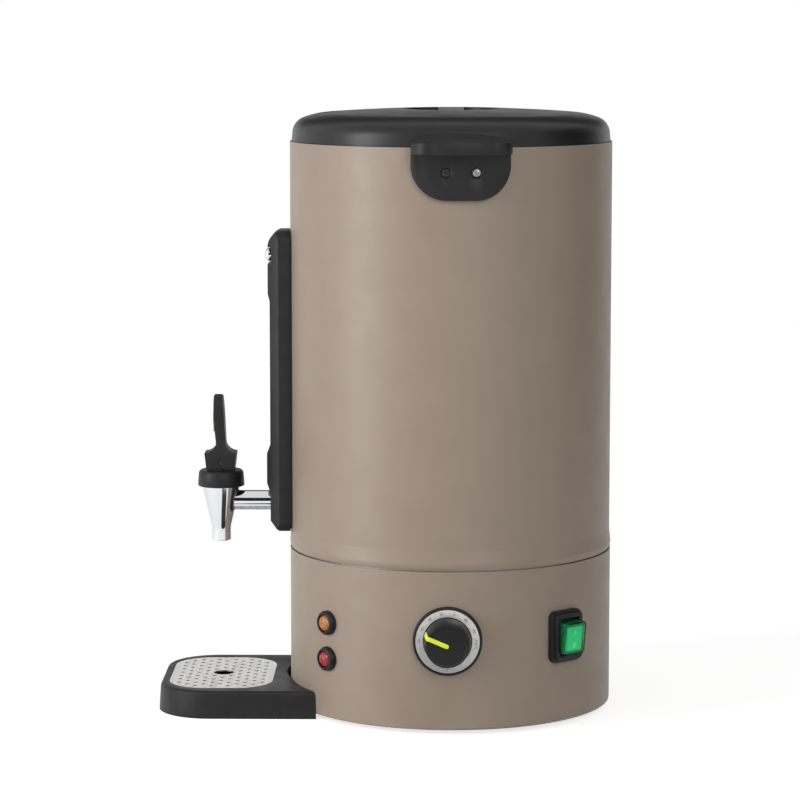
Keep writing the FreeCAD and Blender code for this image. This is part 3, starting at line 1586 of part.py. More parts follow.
def tap_gaskets():
    """Outside washer, spacer between the two walls, and inside washer."""
    rings = []
    for name, low, high in (
        ("outside_washer", "-shell_radius - fit_gap - gasket_thickness", "-shell_radius - fit_gap"),
        ("wall_spacer", "-shell_inner + gasket_radius^2 / (2 * shell_inner) + fit_gap",
         "-tank_outer - fit_gap"),
        ("inside_washer", "-gasket_inner", "-gasket_inner + 2 * gasket_thickness"),
    ):
        ring = rod(name, "gasket_radius", f"{high} - ({low})", (low, "0", "pipe_height"), "x")
        bore = rod(name + "_bore", "pipe_radius + fit_gap / 2", "60",
                   ("-shell_radius - 20", "0", "pipe_height"), "x")
        rings.append(cut(name + "_ring", ring, bore))
    return keep("tap_gaskets", group("tap_gaskets_group", rings))


def tap_nut():
    nut = hexagon("tap_hex", "tap_nut_flats / sqrt(3)", "tap_nut_length")
    start = "-gasket_inner + 2 * gasket_thickness + fit_gap"
    bind(nut, ".Placement.Base.x", start)
    bind(nut, ".Placement.Base.z", "pipe_height")
    nut.Placement.Rotation = Rotation(Vector(0, 1, 0), 90)
    bore = rod("tap_nut_bore", "pipe_radius + fit_gap / 2", "30",
               ("-gasket_inner - 10", "0", "pipe_height"), "x")
    return keep("tap_nut", cut("tap_nut_cut", nut, bore))


# Drip tray

def drip_tray():
    body = new_body("drip_tray_body")
    back = "(tray_length - tray_front)"
    outline = outline_sketch(body, "tray_outline", "XY_Plane", [
        ("-tray_front + tray_corner", "-tray_width / 2"),
        (back, "-tray_width / 2"),
        (back, "tray_width / 2"),
        ("-tray_front + tray_corner", "tray_width / 2", "right", "tray_corner"),
        ("-tray_front", "tray_width / 2 - tray_corner"),
        ("-tray_front", "-tray_width / 2 + tray_corner", "right", "tray_corner"),
    ])
    block = pad(body, "tray_block", outline, "tray_height")
    bind(block, "TaperAngle", "-tray_draft")
    doc.recompute()
    rim = []
    for number, edge in enumerate(block.Shape.Edges):
        box = edge.BoundBox
        if box.ZMin > size("tray_height") - 0.01 and box.XMin < size(back) - 1.5:
            rim.append(f"Edge{number + 1}")
    rounding = body.newObject("PartDesign::Fillet", "tray_rim_round")
    rounding.Base = (block, rim)
    bind(rounding, "Radius", "tray_edge_fillet")
    seat = outline_sketch(body, "grille_seat_outline", "XY_Plane", rounded_box(
        "-grille_front - tray_gap", "-grille_half_width - tray_gap", "-grille_back + tray_gap",
        "grille_half_width + tray_gap", "grille_corner + tray_gap"), "tray_height")
    pocket(body, "grille_seat", seat, "tray_height - ledge_top")
    basin = outline_sketch(body, "basin_outline", "XY_Plane", rounded_box(
        "-grille_front + ledge_width", "-grille_half_width + ledge_width", "-grille_back - ledge_width",
        "grille_half_width - ledge_width", "grille_corner - ledge_width"), "tray_height")
    pocket(body, "tray_basin", basin, "tray_height - tray_floor")
    notch = circle_sketch(body, "notch_circle", "XY_Plane", [("-notch_place", "notch_side", "notch_radius")],
                          "tray_height")
    pocket(body, "tray_notch", notch, "notch_depth")
    hollow = circle_sketch(body, "tray_back_circle", "XY_Plane", [("0", "0", "base_radius + tray_gap")],
                           "tray_height + 1")
    pocket(body, "tray_back", hollow, "tray_height + 2")
    tongue = outline_sketch(body, "tongue_outline", "XY_Plane", box_points(
        "-base_radius - 2", "-tongue_half_width", "-base_radius + tongue_reach", "tongue_half_width"),
        "tongue_lift")
    pad(body, "tray_tongue", tongue, "tongue_thickness")
    return keep("drip_tray", body)


def drip_grille():
    body = new_body("drip_grille_body")
    outline = outline_sketch(body, "grille_outline", "XY_Plane", rounded_box(
        "-grille_front", "-grille_half_width", "-grille_back", "grille_half_width", "grille_corner"),
        "grille_bottom")
    pad(body, "grille_sheet", outline, "grille_thickness")
    drain = circle_sketch(body, "drain_circle", "XY_Plane", [("-drain_place", "0", "drain_radius")],
                          "grille_top")
    pocket(body, "grille_drain", drain, "2 * grille_thickness")
    body.Visibility = False
    holes = doc.addObject("Part::Feature", "grille_holes")
    holes.Shape = Part.makeCompound(grille_drills())
    return keep("drip_grille", cut("drip_grille_cut", body, holes))


def grille_drills():
    """Staggered rows of small holes, clear of the drain and of the grille's edge."""
    drills = []
    low = size("grille_bottom") - 1
    height = size("grille_thickness") + 2
    radius = size("hole_radius")
    middle = -size("drain_place")
    half_x = size("grille_front - grille_back") / 2 - size("hole_margin")
    half_y = size("grille_half_width - hole_margin")
    corner = size("grille_corner - hole_margin")
    columns = int(size("hole_columns")) // 2
    rows = int(size("hole_rows")) // 2
    for column in range(-columns, columns + 1):
        x = column * size("hole_column")
        shift = 0.0 if column % 2 else 0.5
        for row in range(-rows, rows + 1):
            y = (row + shift) * size("hole_row")
            over_x = max(abs(x) - (half_x - corner), 0)
            over_y = max(abs(y) - (half_y - corner), 0)
            if abs(x) > half_x or abs(y) > half_y or math.hypot(over_x, over_y) > corner:
                continue
            if math.hypot(x, y) < size("drain_radius") + 2 * radius:
                continue
            drills.append(Part.makeCylinder(radius, height, Vector(middle + x, y, low)))
    return drills


# Lid

def lid():
    wall = "lid_wall"
    bottom = "lid_bottom"
    shell = revolved("lid_shell", [
        ("lid_radius - lid_wall", bottom),
        ("lid_radius", bottom),
        ("lid_radius - lid_skirt_draft", f"{bottom} + lid_skirt", "right", "lid_shoulder_radius"),
        ("lid_radius - lid_shoulder_inset", f"{bottom} + lid_shoulder_rise", "right", "lid_crown_radius"),
        ("lid_radius - lid_crown_inset", f"{bottom} + lid_crown_rise", "right", "dome_radius"),
        ("0", "lid_top"),
        ("0", f"lid_top - {wall}"),
        ("lid_radius - lid_crown_inset", f"{bottom} + lid_crown_rise - {wall}"),
        ("lid_radius - lid_shoulder_inset - lid_wall", f"{bottom} + lid_shoulder_rise - {wall}"),
        ("lid_radius - lid_skirt_draft - lid_wall", f"{bottom} + lid_skirt"),
    ])
    cup = rod("lid_cup", "well_radius + lid_wall", "well_depth + lid_wall - 1",
              ("0", "0", "lid_top - well_depth - lid_wall"))
    rib_outer = "liner_radius - liner_wall - fit_gap"
    rib = revolved("lid_rib", [
        (f"{rib_outer} - rib_thickness", "lid_bottom - liner_depth + liner_wall + fit_gap"),
        (rib_outer, "lid_bottom - liner_depth + liner_wall + fit_gap"),
        (rib_outer, "lid_bottom + lid_shoulder_rise"),
        (f"{rib_outer} - rib_thickness", "lid_bottom + lid_shoulder_rise"),
    ])
    seat = revolved("lid_seal_rib", [
        ("liner_radius + 2", "lid_bottom + seal_thickness + fit_gap"),
        ("liner_radius + 2 + rib_thickness", "lid_bottom + seal_thickness + fit_gap"),
        ("liner_radius + 2 + rib_thickness", "lid_bottom + lid_shoulder_rise - 2"),
        ("liner_radius + 2", "lid_bottom + lid_shoulder_rise - 2"),
    ])
    solid = fuse("lid_solid", [shell, cup, rib, seat])
    well = rod("lid_well", "well_radius", "well_depth + 1", ("0", "0", "lid_top - well_depth"))
    bar = box_solid("lid_bar", ("-grip_width / 2", "-2 * well_radius", "lid_top - well_depth - 1"),
                    ("grip_width / 2", "2 * well_radius", "lid_top + 2"))
    wells = cut("lid_wells", well, bar)
    vent = rod("lid_vent_hole", "vent_radius + fit_gap / 2", "20", ("-vent_place", "0", "lid_top - 12"))
    return keep("lid", cut("lid_cut", solid, fuse("lid_tools", [wells, vent])))


def steam_vent():
    top = "lid_bottom + lid_crown_rise - 1.4"
    body = rod("vent_plug", "vent_radius", "vent_depth", ("-vent_place", "0", f"{top} - vent_depth"))
    slots = []
    for number in range(3):
        place = f"({number} - 1) * 2.6 * vent_slot"
        slots.append(box_solid(f"vent_slot_{number + 1}",
                               (f"-vent_place + {place} - vent_slot / 2", "-vent_radius * 0.6",
                                f"{top} - 2 * vent_depth"),
                               (f"-vent_place + {place} + vent_slot / 2", "vent_radius * 0.6",
                                f"{top} + 1")))
    return keep("steam_vent", cut("steam_vent_cut", body, fuse("vent_tools", slots)))


def lid_liner():
    low = "lid_bottom - liner_depth"
    return keep("lid_liner", revolved("lid_liner", [
        ("0", low),
        ("liner_radius", low),
        ("liner_radius", "lid_bottom + 6"),
        ("liner_radius - liner_wall", "lid_bottom + 6"),
        ("liner_radius - liner_wall", f"{low} + liner_wall"),
        ("0", f"{low} + liner_wall"),
    ]))


def lid_seal():
    inner = "liner_radius + fit_gap / 2"
    return keep("lid_seal", revolved("lid_seal", [
        (inner, "tank_rim + fit_gap"),
        (f"{inner} + seal_reach", "tank_rim + fit_gap"),
        (f"{inner} + seal_reach", "tank_rim + fit_gap + seal_thickness"),
        (inner, "tank_rim + fit_gap + seal_thickness"),
    ]))


# Side handles

def handle_places():
    """Azimuth and sideways place of each handle screw: two per handle, four in all."""
    return [(f"handle_azimuth + {turn_by}", f"{side} * handle_screw_spacing")
            for turn_by in (0, 180) for side in (-0.5, 0.5)]


def handle_rods(name, radius, start, length):
    """A rod square to the casing at each handle screw."""
    rods = []
    for number, (azimuth, side) in enumerate(handle_places()):
        rods.append(wall_rod(f"{name}_{number + 1}", radius, azimuth, "handle_screw_height", start,
                             f"{start} + {length}", "shell_radius", side))
    return rods


def handle_solid(name):
    """A shield plate that hugs the casing under an open-bottomed hood."""
    half = "handle_width / 2"
    low = "handle_low"
    plate = new_body(name + "_plate")
    shield = outline_sketch(plate, name + "_shield", "XZ_Plane", [
        (f"-{half} + handle_corner", low),
        (f"{half} - handle_corner", low, "right", "handle_corner"),
        (half, f"{low} + handle_corner"),
        (half, "shell_top + hood_end_rise"),
        (f"-{half}", "shell_top + hood_end_rise"),
        (f"-{half}", f"{low} + handle_corner", "right", "handle_corner"),
    ], "shell_radius - 20")
    pad(plate, name + "_plate_pad", shield, "20 + handle_plate + 5")
    skin = casing_core(name + "_skin", "shell_radius + fit_gap + handle_plate", f"{low} - 5",
                       "shell_top + 20")
    shell_plate = common(name + "_plate_common", [plate, skin])
    hood = new_body(name + "_hood")
    reach = "shell_radius + hood_reach"
    plan = outline_sketch(hood, name + "_hood_plan", "XY_Plane", hood_plan("0"), "hood_under")
    pad(hood, name + "_hood_pad", plan, "hood_under_drop + hood_apex_rise + 2")
    roof = new_body(name + "_roof")
    loft = roof.newObject("PartDesign::AdditiveLoft", name + "_roof_loft")
    back_face = outline_sketch(roof, name + "_roof_back", "XZ_Plane", [
        (f"-{half} - 2", "hood_under - 20"),
        (f"{half} + 2", "hood_under - 20"),
        (f"{half} + 2", "shell_top + hood_end_rise", "right", "hood_arch"),
        (f"-{half} - 2", "shell_top + hood_end_rise"),
    ], "shell_radius - hood_root")
    front_face = outline_sketch(roof, name + "_roof_front", "XZ_Plane", [
        (f"-{half} - 2", "hood_under - 20"),
        (f"{half} + 2", "hood_under - 20"),
        (f"{half} + 2", "shell_top + hood_front_rise - 0.8", "right", "12 * hood_arch"),
        (f"-{half} - 2", "shell_top + hood_front_rise - 0.8"),
    ], f"{reach} + 3")
    loft.Profile = back_face
    loft.Sections = [front_face]
    loft.Ruled = True
    hood_solid = common(name + "_hood_common", [hood, roof])
    solid = fuse(name + "_solid", [shell_plate, hood_solid])
    hollow = new_body(name + "_hollow")
    inside = outline_sketch(hollow, name + "_hollow_plan", "XY_Plane", hood_plan("hood_wall"),
                            "hood_under - 1")
    pad(hollow, name + "_hollow_pad", inside, "hood_under_drop + hood_front_rise - hood_wall + 1")
    plate_keep = casing_core(name + "_plate_keep", "shell_radius + fit_gap + handle_plate",
                             f"{low} - 6", "shell_top + 21")
    hollow_cut = cut(name + "_hollow_cut", hollow, plate_keep)
    core = casing_core(name + "_core", "shell_radius + fit_gap", f"{low} - 8", "shell_top + 22")
    return cut(name + "_cut", cut(name + "_hooded", solid, hollow_cut), core)


def hood_plan(inset):
    """The hood seen from above: straight sides, round corners and a gently bowed front."""
    half = f"(handle_width / 2 - {inset})"
    reach = f"(shell_radius + hood_reach - {inset})"
    corner = f"(hood_corner - {inset})"
    return [
        (f"-{half}", "-shell_radius + 20"),
        (f"-{half}", f"-{reach} + {corner} + hood_bow", "right", corner),
        (f"-{half} + {corner}", f"-{reach} + hood_bow", "right", "hood_bow_radius"),
        ("0", f"-{reach} + 0.2", "right", "hood_bow_radius"),
        (f"{half} - {corner}", f"-{reach} + hood_bow", "right", corner),
        (half, f"-{reach} + {corner} + hood_bow"),
        (half, "-shell_radius + 20"),
    ]


def handles():
    finished = []
    for name, side in (("front_handle", 0), ("rear_handle", 180)):
        solid = handle_solid(name)
        solid.Placement = Placement(Vector(), Rotation(Vector(0, 0, 1), size("handle_azimuth") + side))
        finished.append(solid)
    bores = handle_rods("handle_bore", "handle_screw_radius + fit_gap", "-10", "30")
    seats = handle_rods("handle_seat", "handle_head_radius + fit_gap",
                        "handle_plate - dimple_depth - handle_head_height", "10")
    dimples = handle_dimples()
    for number, solid in enumerate(finished):
        pair = slice(2 * number, 2 * number + 2)
        tools = fuse(f"{solid.Name}_tools", bores[pair] + seats[pair] + dimples[pair])
        label = ("front_handle", "rear_handle")[number]
        keep(label, cut(label + "_drilled", solid, tools))


def handle_dimples():
    """A shallow cone at the mouth of each screw's seat."""
    cones = []
    for number, (azimuth, side) in enumerate(handle_places()):
        cone = doc.addObject("Part::Cone", f"handle_dimple_{number + 1}")
        bind(cone, "Radius1", "handle_head_radius")
        bind(cone, "Radius2", "2 * dimple_radius - handle_head_radius")
        bind(cone, "Height", "2 * dimple_depth")
        cone.Placement = wall_foot(azimuth, "handle_screw_height", "handle_plate - dimple_depth",
                                   "shell_radius", side)
        cones.append(cone)
    return cones


def handle_screws():
    top = "handle_plate - dimple_depth - handle_head_height"
    heads = handle_rods("handle_head", "handle_head_radius", top, "handle_head_height")
    shanks = handle_rods("handle_shank", "handle_screw_radius", f"{top} - handle_screw_length",
                         "handle_screw_length")
    screws = []
    for number in range(4):
        screws.append(fuse(f"handle_screw_{number + 1}", [heads[number], shanks[number]]))
    return keep("handle_screws", group("handle_screws_group", screws))


def handle_nuts():
    blanks = handle_rods("handle_nut_blank", "handle_nut_radius",
                         "-shell_wall - slip_gap - 1.4 - handle_nut_height", "handle_nut_height")
    bores = handle_rods("handle_nut_bore", "handle_screw_radius + fit_gap / 2", "-20", "22")
    nuts = []
    for number in range(4):
        nuts.append(cut(f"handle_nut_{number + 1}", blanks[number], bores[number]))
    return keep("handle_nuts", group("handle_nuts_group", nuts))


# Cable gland at the back of the base

def cable_gland():
    body = revolved("cable_gland", [
        ("gland_bore", "-gland_tail"),
        ("gland_thread", "-gland_tail"),
        ("gland_thread", "fit_gap"),
        ("gland_flange", "fit_gap"),
        ("gland_flange", "gland_flange_thickness"),
        ("gland_radius", "gland_flange_thickness"),
        ("gland_radius", "gland_reach - 2"),
        ("gland_radius - 2", "gland_reach"),
        ("gland_bore", "gland_reach"),
    ])
    body.Placement = wall_frame("180", "gland_height")
    return keep("cable_gland", body)


def gland_nut():
    nut = hexagon("gland_hex", "gland_nut_radius", "gland_nut_height")
    bore = rod("gland_nut_bore", "gland_thread + fit_gap / 2", "3 * gland_nut_height",
               ("0", "0", "-gland_nut_height"))
    ring = cut("gland_nut_cut", nut, bore)
    inset = size("gland_nut_height + base_wall + gland_nut_radius^2 / (2 * base_inner) + fit_gap")
    ring.Placement = wall_frame("180", "gland_height").multiply(Placement(Vector(0, 0, -inset), Rotation()))
    return keep("gland_nut", ring)


# Build, check and write

def check_and_write():
    for item in doc.Objects:
        if "Invalid" in item.State or "Error" in item.State:
            raise ValueError(f"{item.Name} failed: {item.State}")
    os.makedirs("parts", exist_ok=True)
    for item in PARTS:
        shape = item.Shape
        if shape.isNull() or not shape.isValid() or not shape.Solids:
            raise ValueError(f"{item.Label} is not a valid solid")
        shape.exportStep(f"parts/{item.Label}.step")
        print(f"{item.Label}: {len(shape.Solids)} solids, {shape.Volume:.0f} mm3")


write_sizes()
base_shell()
bottom_plate()
rubber_feet()
feet_screws()
outer_shell()
joining_ring()
support_ring()
water_tank()
heat_plate()
heating_element()
element_clamp()
clamp_nut()
thermal_cutout()
thermostat_body()
thermostat_probe()
terminal_block()
dial_bezel()
dial_scale()
control_knob()
thermostat_shaft()
lamp_bezels()
lamp_lenses()
lamp_housings()
lamp_nuts()
switch_frame()
switch_housing()
switch_rocker()
switch_boot()
gauge_cover()
gauge_tube()
gauge_tee()
gauge_nut()
gauge_seals()
gauge_cap()
gauge_bracket()
gauge_screw()
tap_body()
tap_collar()
tap_stem()
tap_seat()
tap_spring()
lever_pin()
tap_lever()
tap_gaskets()
tap_nut()
drip_tray()
drip_grille()
lid()
steam_vent()
lid_liner()
lid_seal()
handles()
handle_screws()
handle_nuts()
cable_gland()
gland_nut()
doc.recompute()
check_and_write()
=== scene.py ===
# %% [markdown]
# # Hot water urn
#
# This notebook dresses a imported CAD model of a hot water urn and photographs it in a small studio.
# The CAD model is the frame: it fixes every size and every moving joint. Blender adds finishes, the
# rounded edges that catch the light, and the small printed or moulded details.

# %% Load the frame
import json
import math
import bmesh
import bpy
from mathutils import Matrix, Vector


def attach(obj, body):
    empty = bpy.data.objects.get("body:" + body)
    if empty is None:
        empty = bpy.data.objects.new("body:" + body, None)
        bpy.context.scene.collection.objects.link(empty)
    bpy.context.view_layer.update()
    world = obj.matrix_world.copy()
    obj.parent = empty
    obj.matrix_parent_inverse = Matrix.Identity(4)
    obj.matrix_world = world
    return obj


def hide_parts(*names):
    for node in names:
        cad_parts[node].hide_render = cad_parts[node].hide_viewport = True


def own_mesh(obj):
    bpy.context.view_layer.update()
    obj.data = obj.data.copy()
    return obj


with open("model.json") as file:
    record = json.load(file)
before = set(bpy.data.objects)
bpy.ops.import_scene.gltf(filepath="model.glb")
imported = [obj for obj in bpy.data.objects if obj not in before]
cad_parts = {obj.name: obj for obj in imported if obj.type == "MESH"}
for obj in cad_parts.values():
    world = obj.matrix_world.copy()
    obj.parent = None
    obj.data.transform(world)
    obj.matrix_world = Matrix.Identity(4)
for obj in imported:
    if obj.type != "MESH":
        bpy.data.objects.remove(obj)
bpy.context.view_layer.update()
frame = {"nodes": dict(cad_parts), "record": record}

MM = 0.001
print("CAD nodes:", len(frame["nodes"]))

# %% [markdown]
# ## Camera
#
# The camera comes first, because every later judgement is made through it. A product photographer
# stands well back with a long lens, so that the urn's sides stay upright and its round top shows only
# as a thin ellipse. A lens of about 143 mm from 2.4 m away, tipped down by 7 degrees, gives that look.

# %% Place the camera
CAMERA_PLACE = (0.0, -2.376, 0.527)
CAMERA_TILT = 82.88
CAMERA_TURN = 0.918
CAMERA_LENS = 142.79


def place_camera():
    lens = bpy.data.cameras.new("camera")
    lens.lens = CAMERA_LENS
    lens.sensor_width = 36
    lens.clip_end = 100
    camera = bpy.data.objects.new("camera", lens)
    camera.location = CAMERA_PLACE
    camera.rotation_euler = (math.radians(CAMERA_TILT), 0, math.radians(CAMERA_TURN))
    bpy.context.scene.collection.objects.link(camera)
    bpy.context.scene.camera = camera
    return camera


camera = place_camera()
bpy.context.scene.view_settings.view_transform = "Standard"
print("camera at", tuple(camera.location))

# %% [markdown]
# ## Studio
#
# The urn stands on a pale floor that runs into a white background. Light Path tells a material which
# kind of ray is asking. Camera, mirror and glass rays see plain white, and every other ray sees a
# softer grey, so the background turns white without flooding the urn with light. The floor adds some
# of its own light for the same rays, which leaves just a faint shadow round the base.

# %% Build the background and floor
AMBIENT = 0.4
FLOOR_SIZE = 6.0
FLOOR_GLOW = 0.72
FLOOR_COLOUR = (0.62, 0.62, 0.62, 1)


def seen_directly(nodes, links):
    """A value of 1 for rays that should see the white background."""
    path = nodes.new("ShaderNodeLightPath")
    total = path.outputs["Is Camera Ray"]
    for name in ("Is Glossy Ray", "Is Transmission Ray"):
        either = nodes.new("ShaderNodeMath")
        either.operation = "MAXIMUM"
        links.new(total, either.inputs[0])
        links.new(path.outputs[name], either.inputs[1])
        total = either.outputs[0]
    return total


def white_world():
    world = bpy.data.worlds.new("studio")
    world.use_nodes = True
    nodes, links = world.node_tree.nodes, world.node_tree.links
    background = nodes["Background"]
    background.inputs["Color"].default_value = (1, 1, 1, 1)
    strength = nodes.new("ShaderNodeMapRange")
    strength.inputs["To Min"].default_value = AMBIENT
    strength.inputs["To Max"].default_value = 1.0
    links.new(seen_directly(nodes, links), strength.inputs["Value"])
    links.new(strength.outputs[0], background.inputs["Strength"])
    bpy.context.scene.world = world


def pale_floor():
    mesh = bpy.data.meshes.new("floor")
    bm = bmesh.new()
    bmesh.ops.create_grid(bm, x_segments=1, y_segments=1, size=FLOOR_SIZE / 2)
    bm.to_mesh(mesh)
    bm.free()
    floor = bpy.data.objects.new("floor", mesh)
    bpy.context.scene.collection.objects.link(floor)
    surface = bpy.data.materials.new("pale_floor")
    surface.use_nodes = True
    nodes, links = surface.node_tree.nodes, surface.node_tree.links
    nodes["Principled BSDF"].inputs["Base Color"].default_value = FLOOR_COLOUR
    nodes["Principled BSDF"].inputs["Roughness"].default_value = 0.9
    glow = nodes.new("ShaderNodeEmission")
    links.new(seen_directly(nodes, links), glow.inputs["Strength"])
    glow.inputs["Color"].default_value = (FLOOR_GLOW,) * 3 + (1,)
    both = nodes.new("ShaderNodeAddShader")
    links.new(nodes["Principled BSDF"].outputs[0], both.inputs[0])
    links.new(glow.outputs[0], both.inputs[1])
    links.new(both.outputs[0], nodes["Material Output"].inputs["Surface"])
    mesh.materials.append(surface)


white_world()
pale_floor()
print("floor", FLOOR_SIZE, "m wide")

# %% [markdown]
# ## Lights
#
# The satin paint shows one broad bright band left of the middle. On a cylinder, such a band sits
# halfway between the camera and the lamp, so a tall soft box stands far round to the left. A second,
# broader box just right of the camera lights the middle, and its light fades toward the far side.

# %% Hang the lamps
def soft_box(name, azimuth, distance, height, width, tall, power, aim=0.24):
    """A rectangular lamp on a circle round the urn, pointed at a height on its axis."""
    angle = math.radians(azimuth)
    place = Vector((distance * math.sin(angle), -distance * math.cos(angle), height))
    lamp = bpy.data.lights.new(name, "AREA")
    lamp.shape = "RECTANGLE"
    lamp.size = width
    lamp.size_y = tall
    lamp.energy = power
    box = bpy.data.objects.new(name, lamp)
    box.location = place
    box.rotation_euler = (Vector((0, 0, aim)) - place).to_track_quat("-Z", "Y").to_euler()
    bpy.context.scene.collection.objects.link(box)
    return box


soft_box("left_box", -63, 1.7, 0.5, 0.5, 1.5, 21)
soft_box("front_box", 14, 2.2, 1.1, 0.5, 0.9, 17)

# %% [markdown]
# Chrome and black plastic are drawn by what they mirror, so a photographer stands black cards where a
# dark reflection is wanted. One card behind the camera darkens everything that faces it, one on the
# right gives the urn its shaded side, and one high at the back keeps the lid's top black. The tap's
# cone looks down at the floor, so a small card lies there to draw its dark stripe. No camera ray sees
# the cards. The one on the floor casts no shadow either, and shows only in reflections.

# %% Stand the black cards
CARD_BLACK = (0.01, 0.01, 0.01, 1)


def black_card(name, azimuth, distance, width, low, high):
    """A dark upright card that faces the urn's axis, from a low edge to a high one."""
    mesh = bpy.data.meshes.new(name)
    bm = bmesh.new()
    bmesh.ops.create_grid(bm, x_segments=1, y_segments=1, size=0.5)
    angle = math.radians(azimuth)
    middle = (distance * math.sin(angle), -distance * math.cos(angle), (low + high) / 2)
    place = (Matrix.Translation(middle) @ Matrix.Rotation(angle, 4, "Z")
             @ Matrix.Rotation(math.radians(90), 4, "X") @ Matrix.Diagonal((width, high - low, 1, 1)))
    bmesh.ops.transform(bm, matrix=place, verts=bm.verts)
    bm.to_mesh(mesh)
    bm.free()
    card = bpy.data.objects.new(name, mesh)
    bpy.context.scene.collection.objects.link(card)
    surface = bpy.data.materials.new(name)
    surface.use_nodes = True
    shader = surface.node_tree.nodes["Principled BSDF"]
    shader.inputs["Base Color"].default_value = CARD_BLACK
    shader.inputs["Roughness"].default_value = 0.9
    mesh.materials.append(surface)
    card.visible_camera = False
    return card


black_card("card_behind_camera", 6, 3.0, 2.6, 0, 2.2)
black_card("card_right", 100, 1.5, 1.5, 0, 1.5)
black_card("card_high_at_back", 180, 1.7, 3.0, 0.85, 2.3)
floor_card = black_card("card_on_floor", 0, 0, 0.2, -0.13, 0.13)
floor_card.rotation_euler = (math.radians(-90), 0, math.radians(23))
floor_card.location = (-0.056, -0.276, 0.001)
floor_card.visible_diffuse = False
floor_card.visible_shadow = False
print("cards stand round the urn")

# %% [markdown]
# ## Finishes
#
# Every finish is a small procedural material. A Principled shader carries the constants, and noise in
# Object coordinates gives the fine things that make a surface believable: the orange peel of baked
# paint, the spark-eroded grain of moulded plastic, the brushing of steel and the smudges in a polish.

# %% Helpers that every finish uses
def srgb(red, green, blue):
    """A screen colour, 0 to 255 a channel, as the linear values that Blender works in."""
    def linear(level):
        share = level / 255
        return share / 12.92 if share <= 0.04045 else ((share + 0.055) / 1.055) ** 2.4
    return (linear(red), linear(green), linear(blue), 1)


def new_finish(name, colour, roughness, metallic=0.0):
    finish = bpy.data.materials.new(name)
    finish.use_nodes = True
    shader = finish.node_tree.nodes["Principled BSDF"]
    shader.inputs["Base Color"].default_value = colour
    shader.inputs["Roughness"].default_value = roughness
    shader.inputs["Metallic"].default_value = metallic
    return finish


def object_noise(finish, scale, detail=3, stretch=(1, 1, 1)):
    """Noise in the piece's own coordinates. Scale is in cells per metre."""
    nodes, links = finish.node_tree.nodes, finish.node_tree.links
    place = nodes.new("ShaderNodeTexCoord")
    mapping = nodes.new("ShaderNodeMapping")
    mapping.inputs["Scale"].default_value = stretch
    noise = nodes.new("ShaderNodeTexNoise")
    noise.inputs["Scale"].default_value = scale
    noise.inputs["Detail"].default_value = detail
    links.new(place.outputs["Object"], mapping.inputs["Vector"])
    links.new(mapping.outputs[0], noise.inputs["Vector"])
    return noise.outputs["Fac"]


def grain(finish, scale, depth, stretch=(1, 1, 1)):
    """Fine bumps, as deep as the given length."""
    nodes, links = finish.node_tree.nodes, finish.node_tree.links
    bump = nodes.new("ShaderNodeBump")
    bump.inputs["Strength"].default_value = 1
    bump.inputs["Distance"].default_value = depth
    links.new(object_noise(finish, scale, 2, stretch), bump.inputs["Height"])
    links.new(bump.outputs[0], nodes["Principled BSDF"].inputs["Normal"])
    return finish


def uneven_gloss(finish, low, high, scale, stretch=(1, 1, 1)):
    """Roughness that wanders between two values, as handling and cleaning leave it."""
    nodes, links = finish.node_tree.nodes, finish.node_tree.links
    span = nodes.new("ShaderNodeMapRange")
    span.inputs["From Min"].default_value = 0.3
    span.inputs["From Max"].default_value = 0.7
    span.inputs["To Min"].default_value = low
    span.inputs["To Max"].default_value = high
    links.new(object_noise(finish, scale, 4, stretch), span.inputs["Value"])
    links.new(span.outputs[0], nodes["Principled BSDF"].inputs["Roughness"])
    return finish


def uneven_colour(finish, first, second, scale, stretch=(1, 1, 1)):
    """A colour that drifts a little between two shades."""
    nodes, links = finish.node_tree.nodes, finish.node_tree.links
    ramp = nodes.new("ShaderNodeValToRGB")
    ramp.color_ramp.elements[0].position = 0.35
    ramp.color_ramp.elements[0].color = first
    ramp.color_ramp.elements[1].position = 0.65
    ramp.color_ramp.elements[1].color = second
    links.new(object_noise(finish, scale, 3, stretch), ramp.inputs["Fac"])
    links.new(ramp.outputs["Color"], nodes["Principled BSDF"].inputs["Base Color"])
    return finish


# %% [markdown]
# Painted metal, plastics and rubbers come first. The photo's blacks are deep and only slightly shiny,
# so their specular level is lowered as well as their colour.

# %% Painted metal, plastics and rubbers
def taupe_paint():
    finish = new_finish("taupe_paint", srgb(150, 134, 119), 0.46)
    uneven_colour(finish, srgb(149, 133, 118), srgb(152, 136, 121), 35)
    uneven_gloss(finish, 0.42, 0.5, 60)
    return grain(finish, 2600, 0.000012)


def black_plastic():
    finish = new_finish("black_plastic", srgb(27, 27, 28), 0.46)
    finish.node_tree.nodes["Principled BSDF"].inputs["Specular IOR Level"].default_value = 0.28
    uneven_colour(finish, srgb(24, 24, 25), srgb(30, 30, 31), 90)
    uneven_gloss(finish, 0.44, 0.56, 70)
    return grain(finish, 3800, 0.00002)


def lid_plastic():
    finish = new_finish("lid_plastic", srgb(24, 24, 25), 0.38)
    finish.node_tree.nodes["Principled BSDF"].inputs["Specular IOR Level"].default_value = 0.32
    uneven_colour(finish, srgb(23, 23, 24), srgb(28, 28, 29), 60)
    uneven_gloss(finish, 0.35, 0.41, 40)
    return grain(finish, 3000, 0.00001)


def black_rubber():
    finish = new_finish("black_rubber", srgb(40, 40, 41), 0.62)
    uneven_colour(finish, srgb(37, 37, 38), srgb(44, 44, 45), 200)
    return grain(finish, 5200, 0.000015)


def silicone():
    finish = new_finish("silicone", srgb(214, 212, 204), 0.55)
    uneven_colour(finish, srgb(210, 208, 200), srgb(219, 217, 210), 150)
    return grain(finish, 2500, 0.00001)


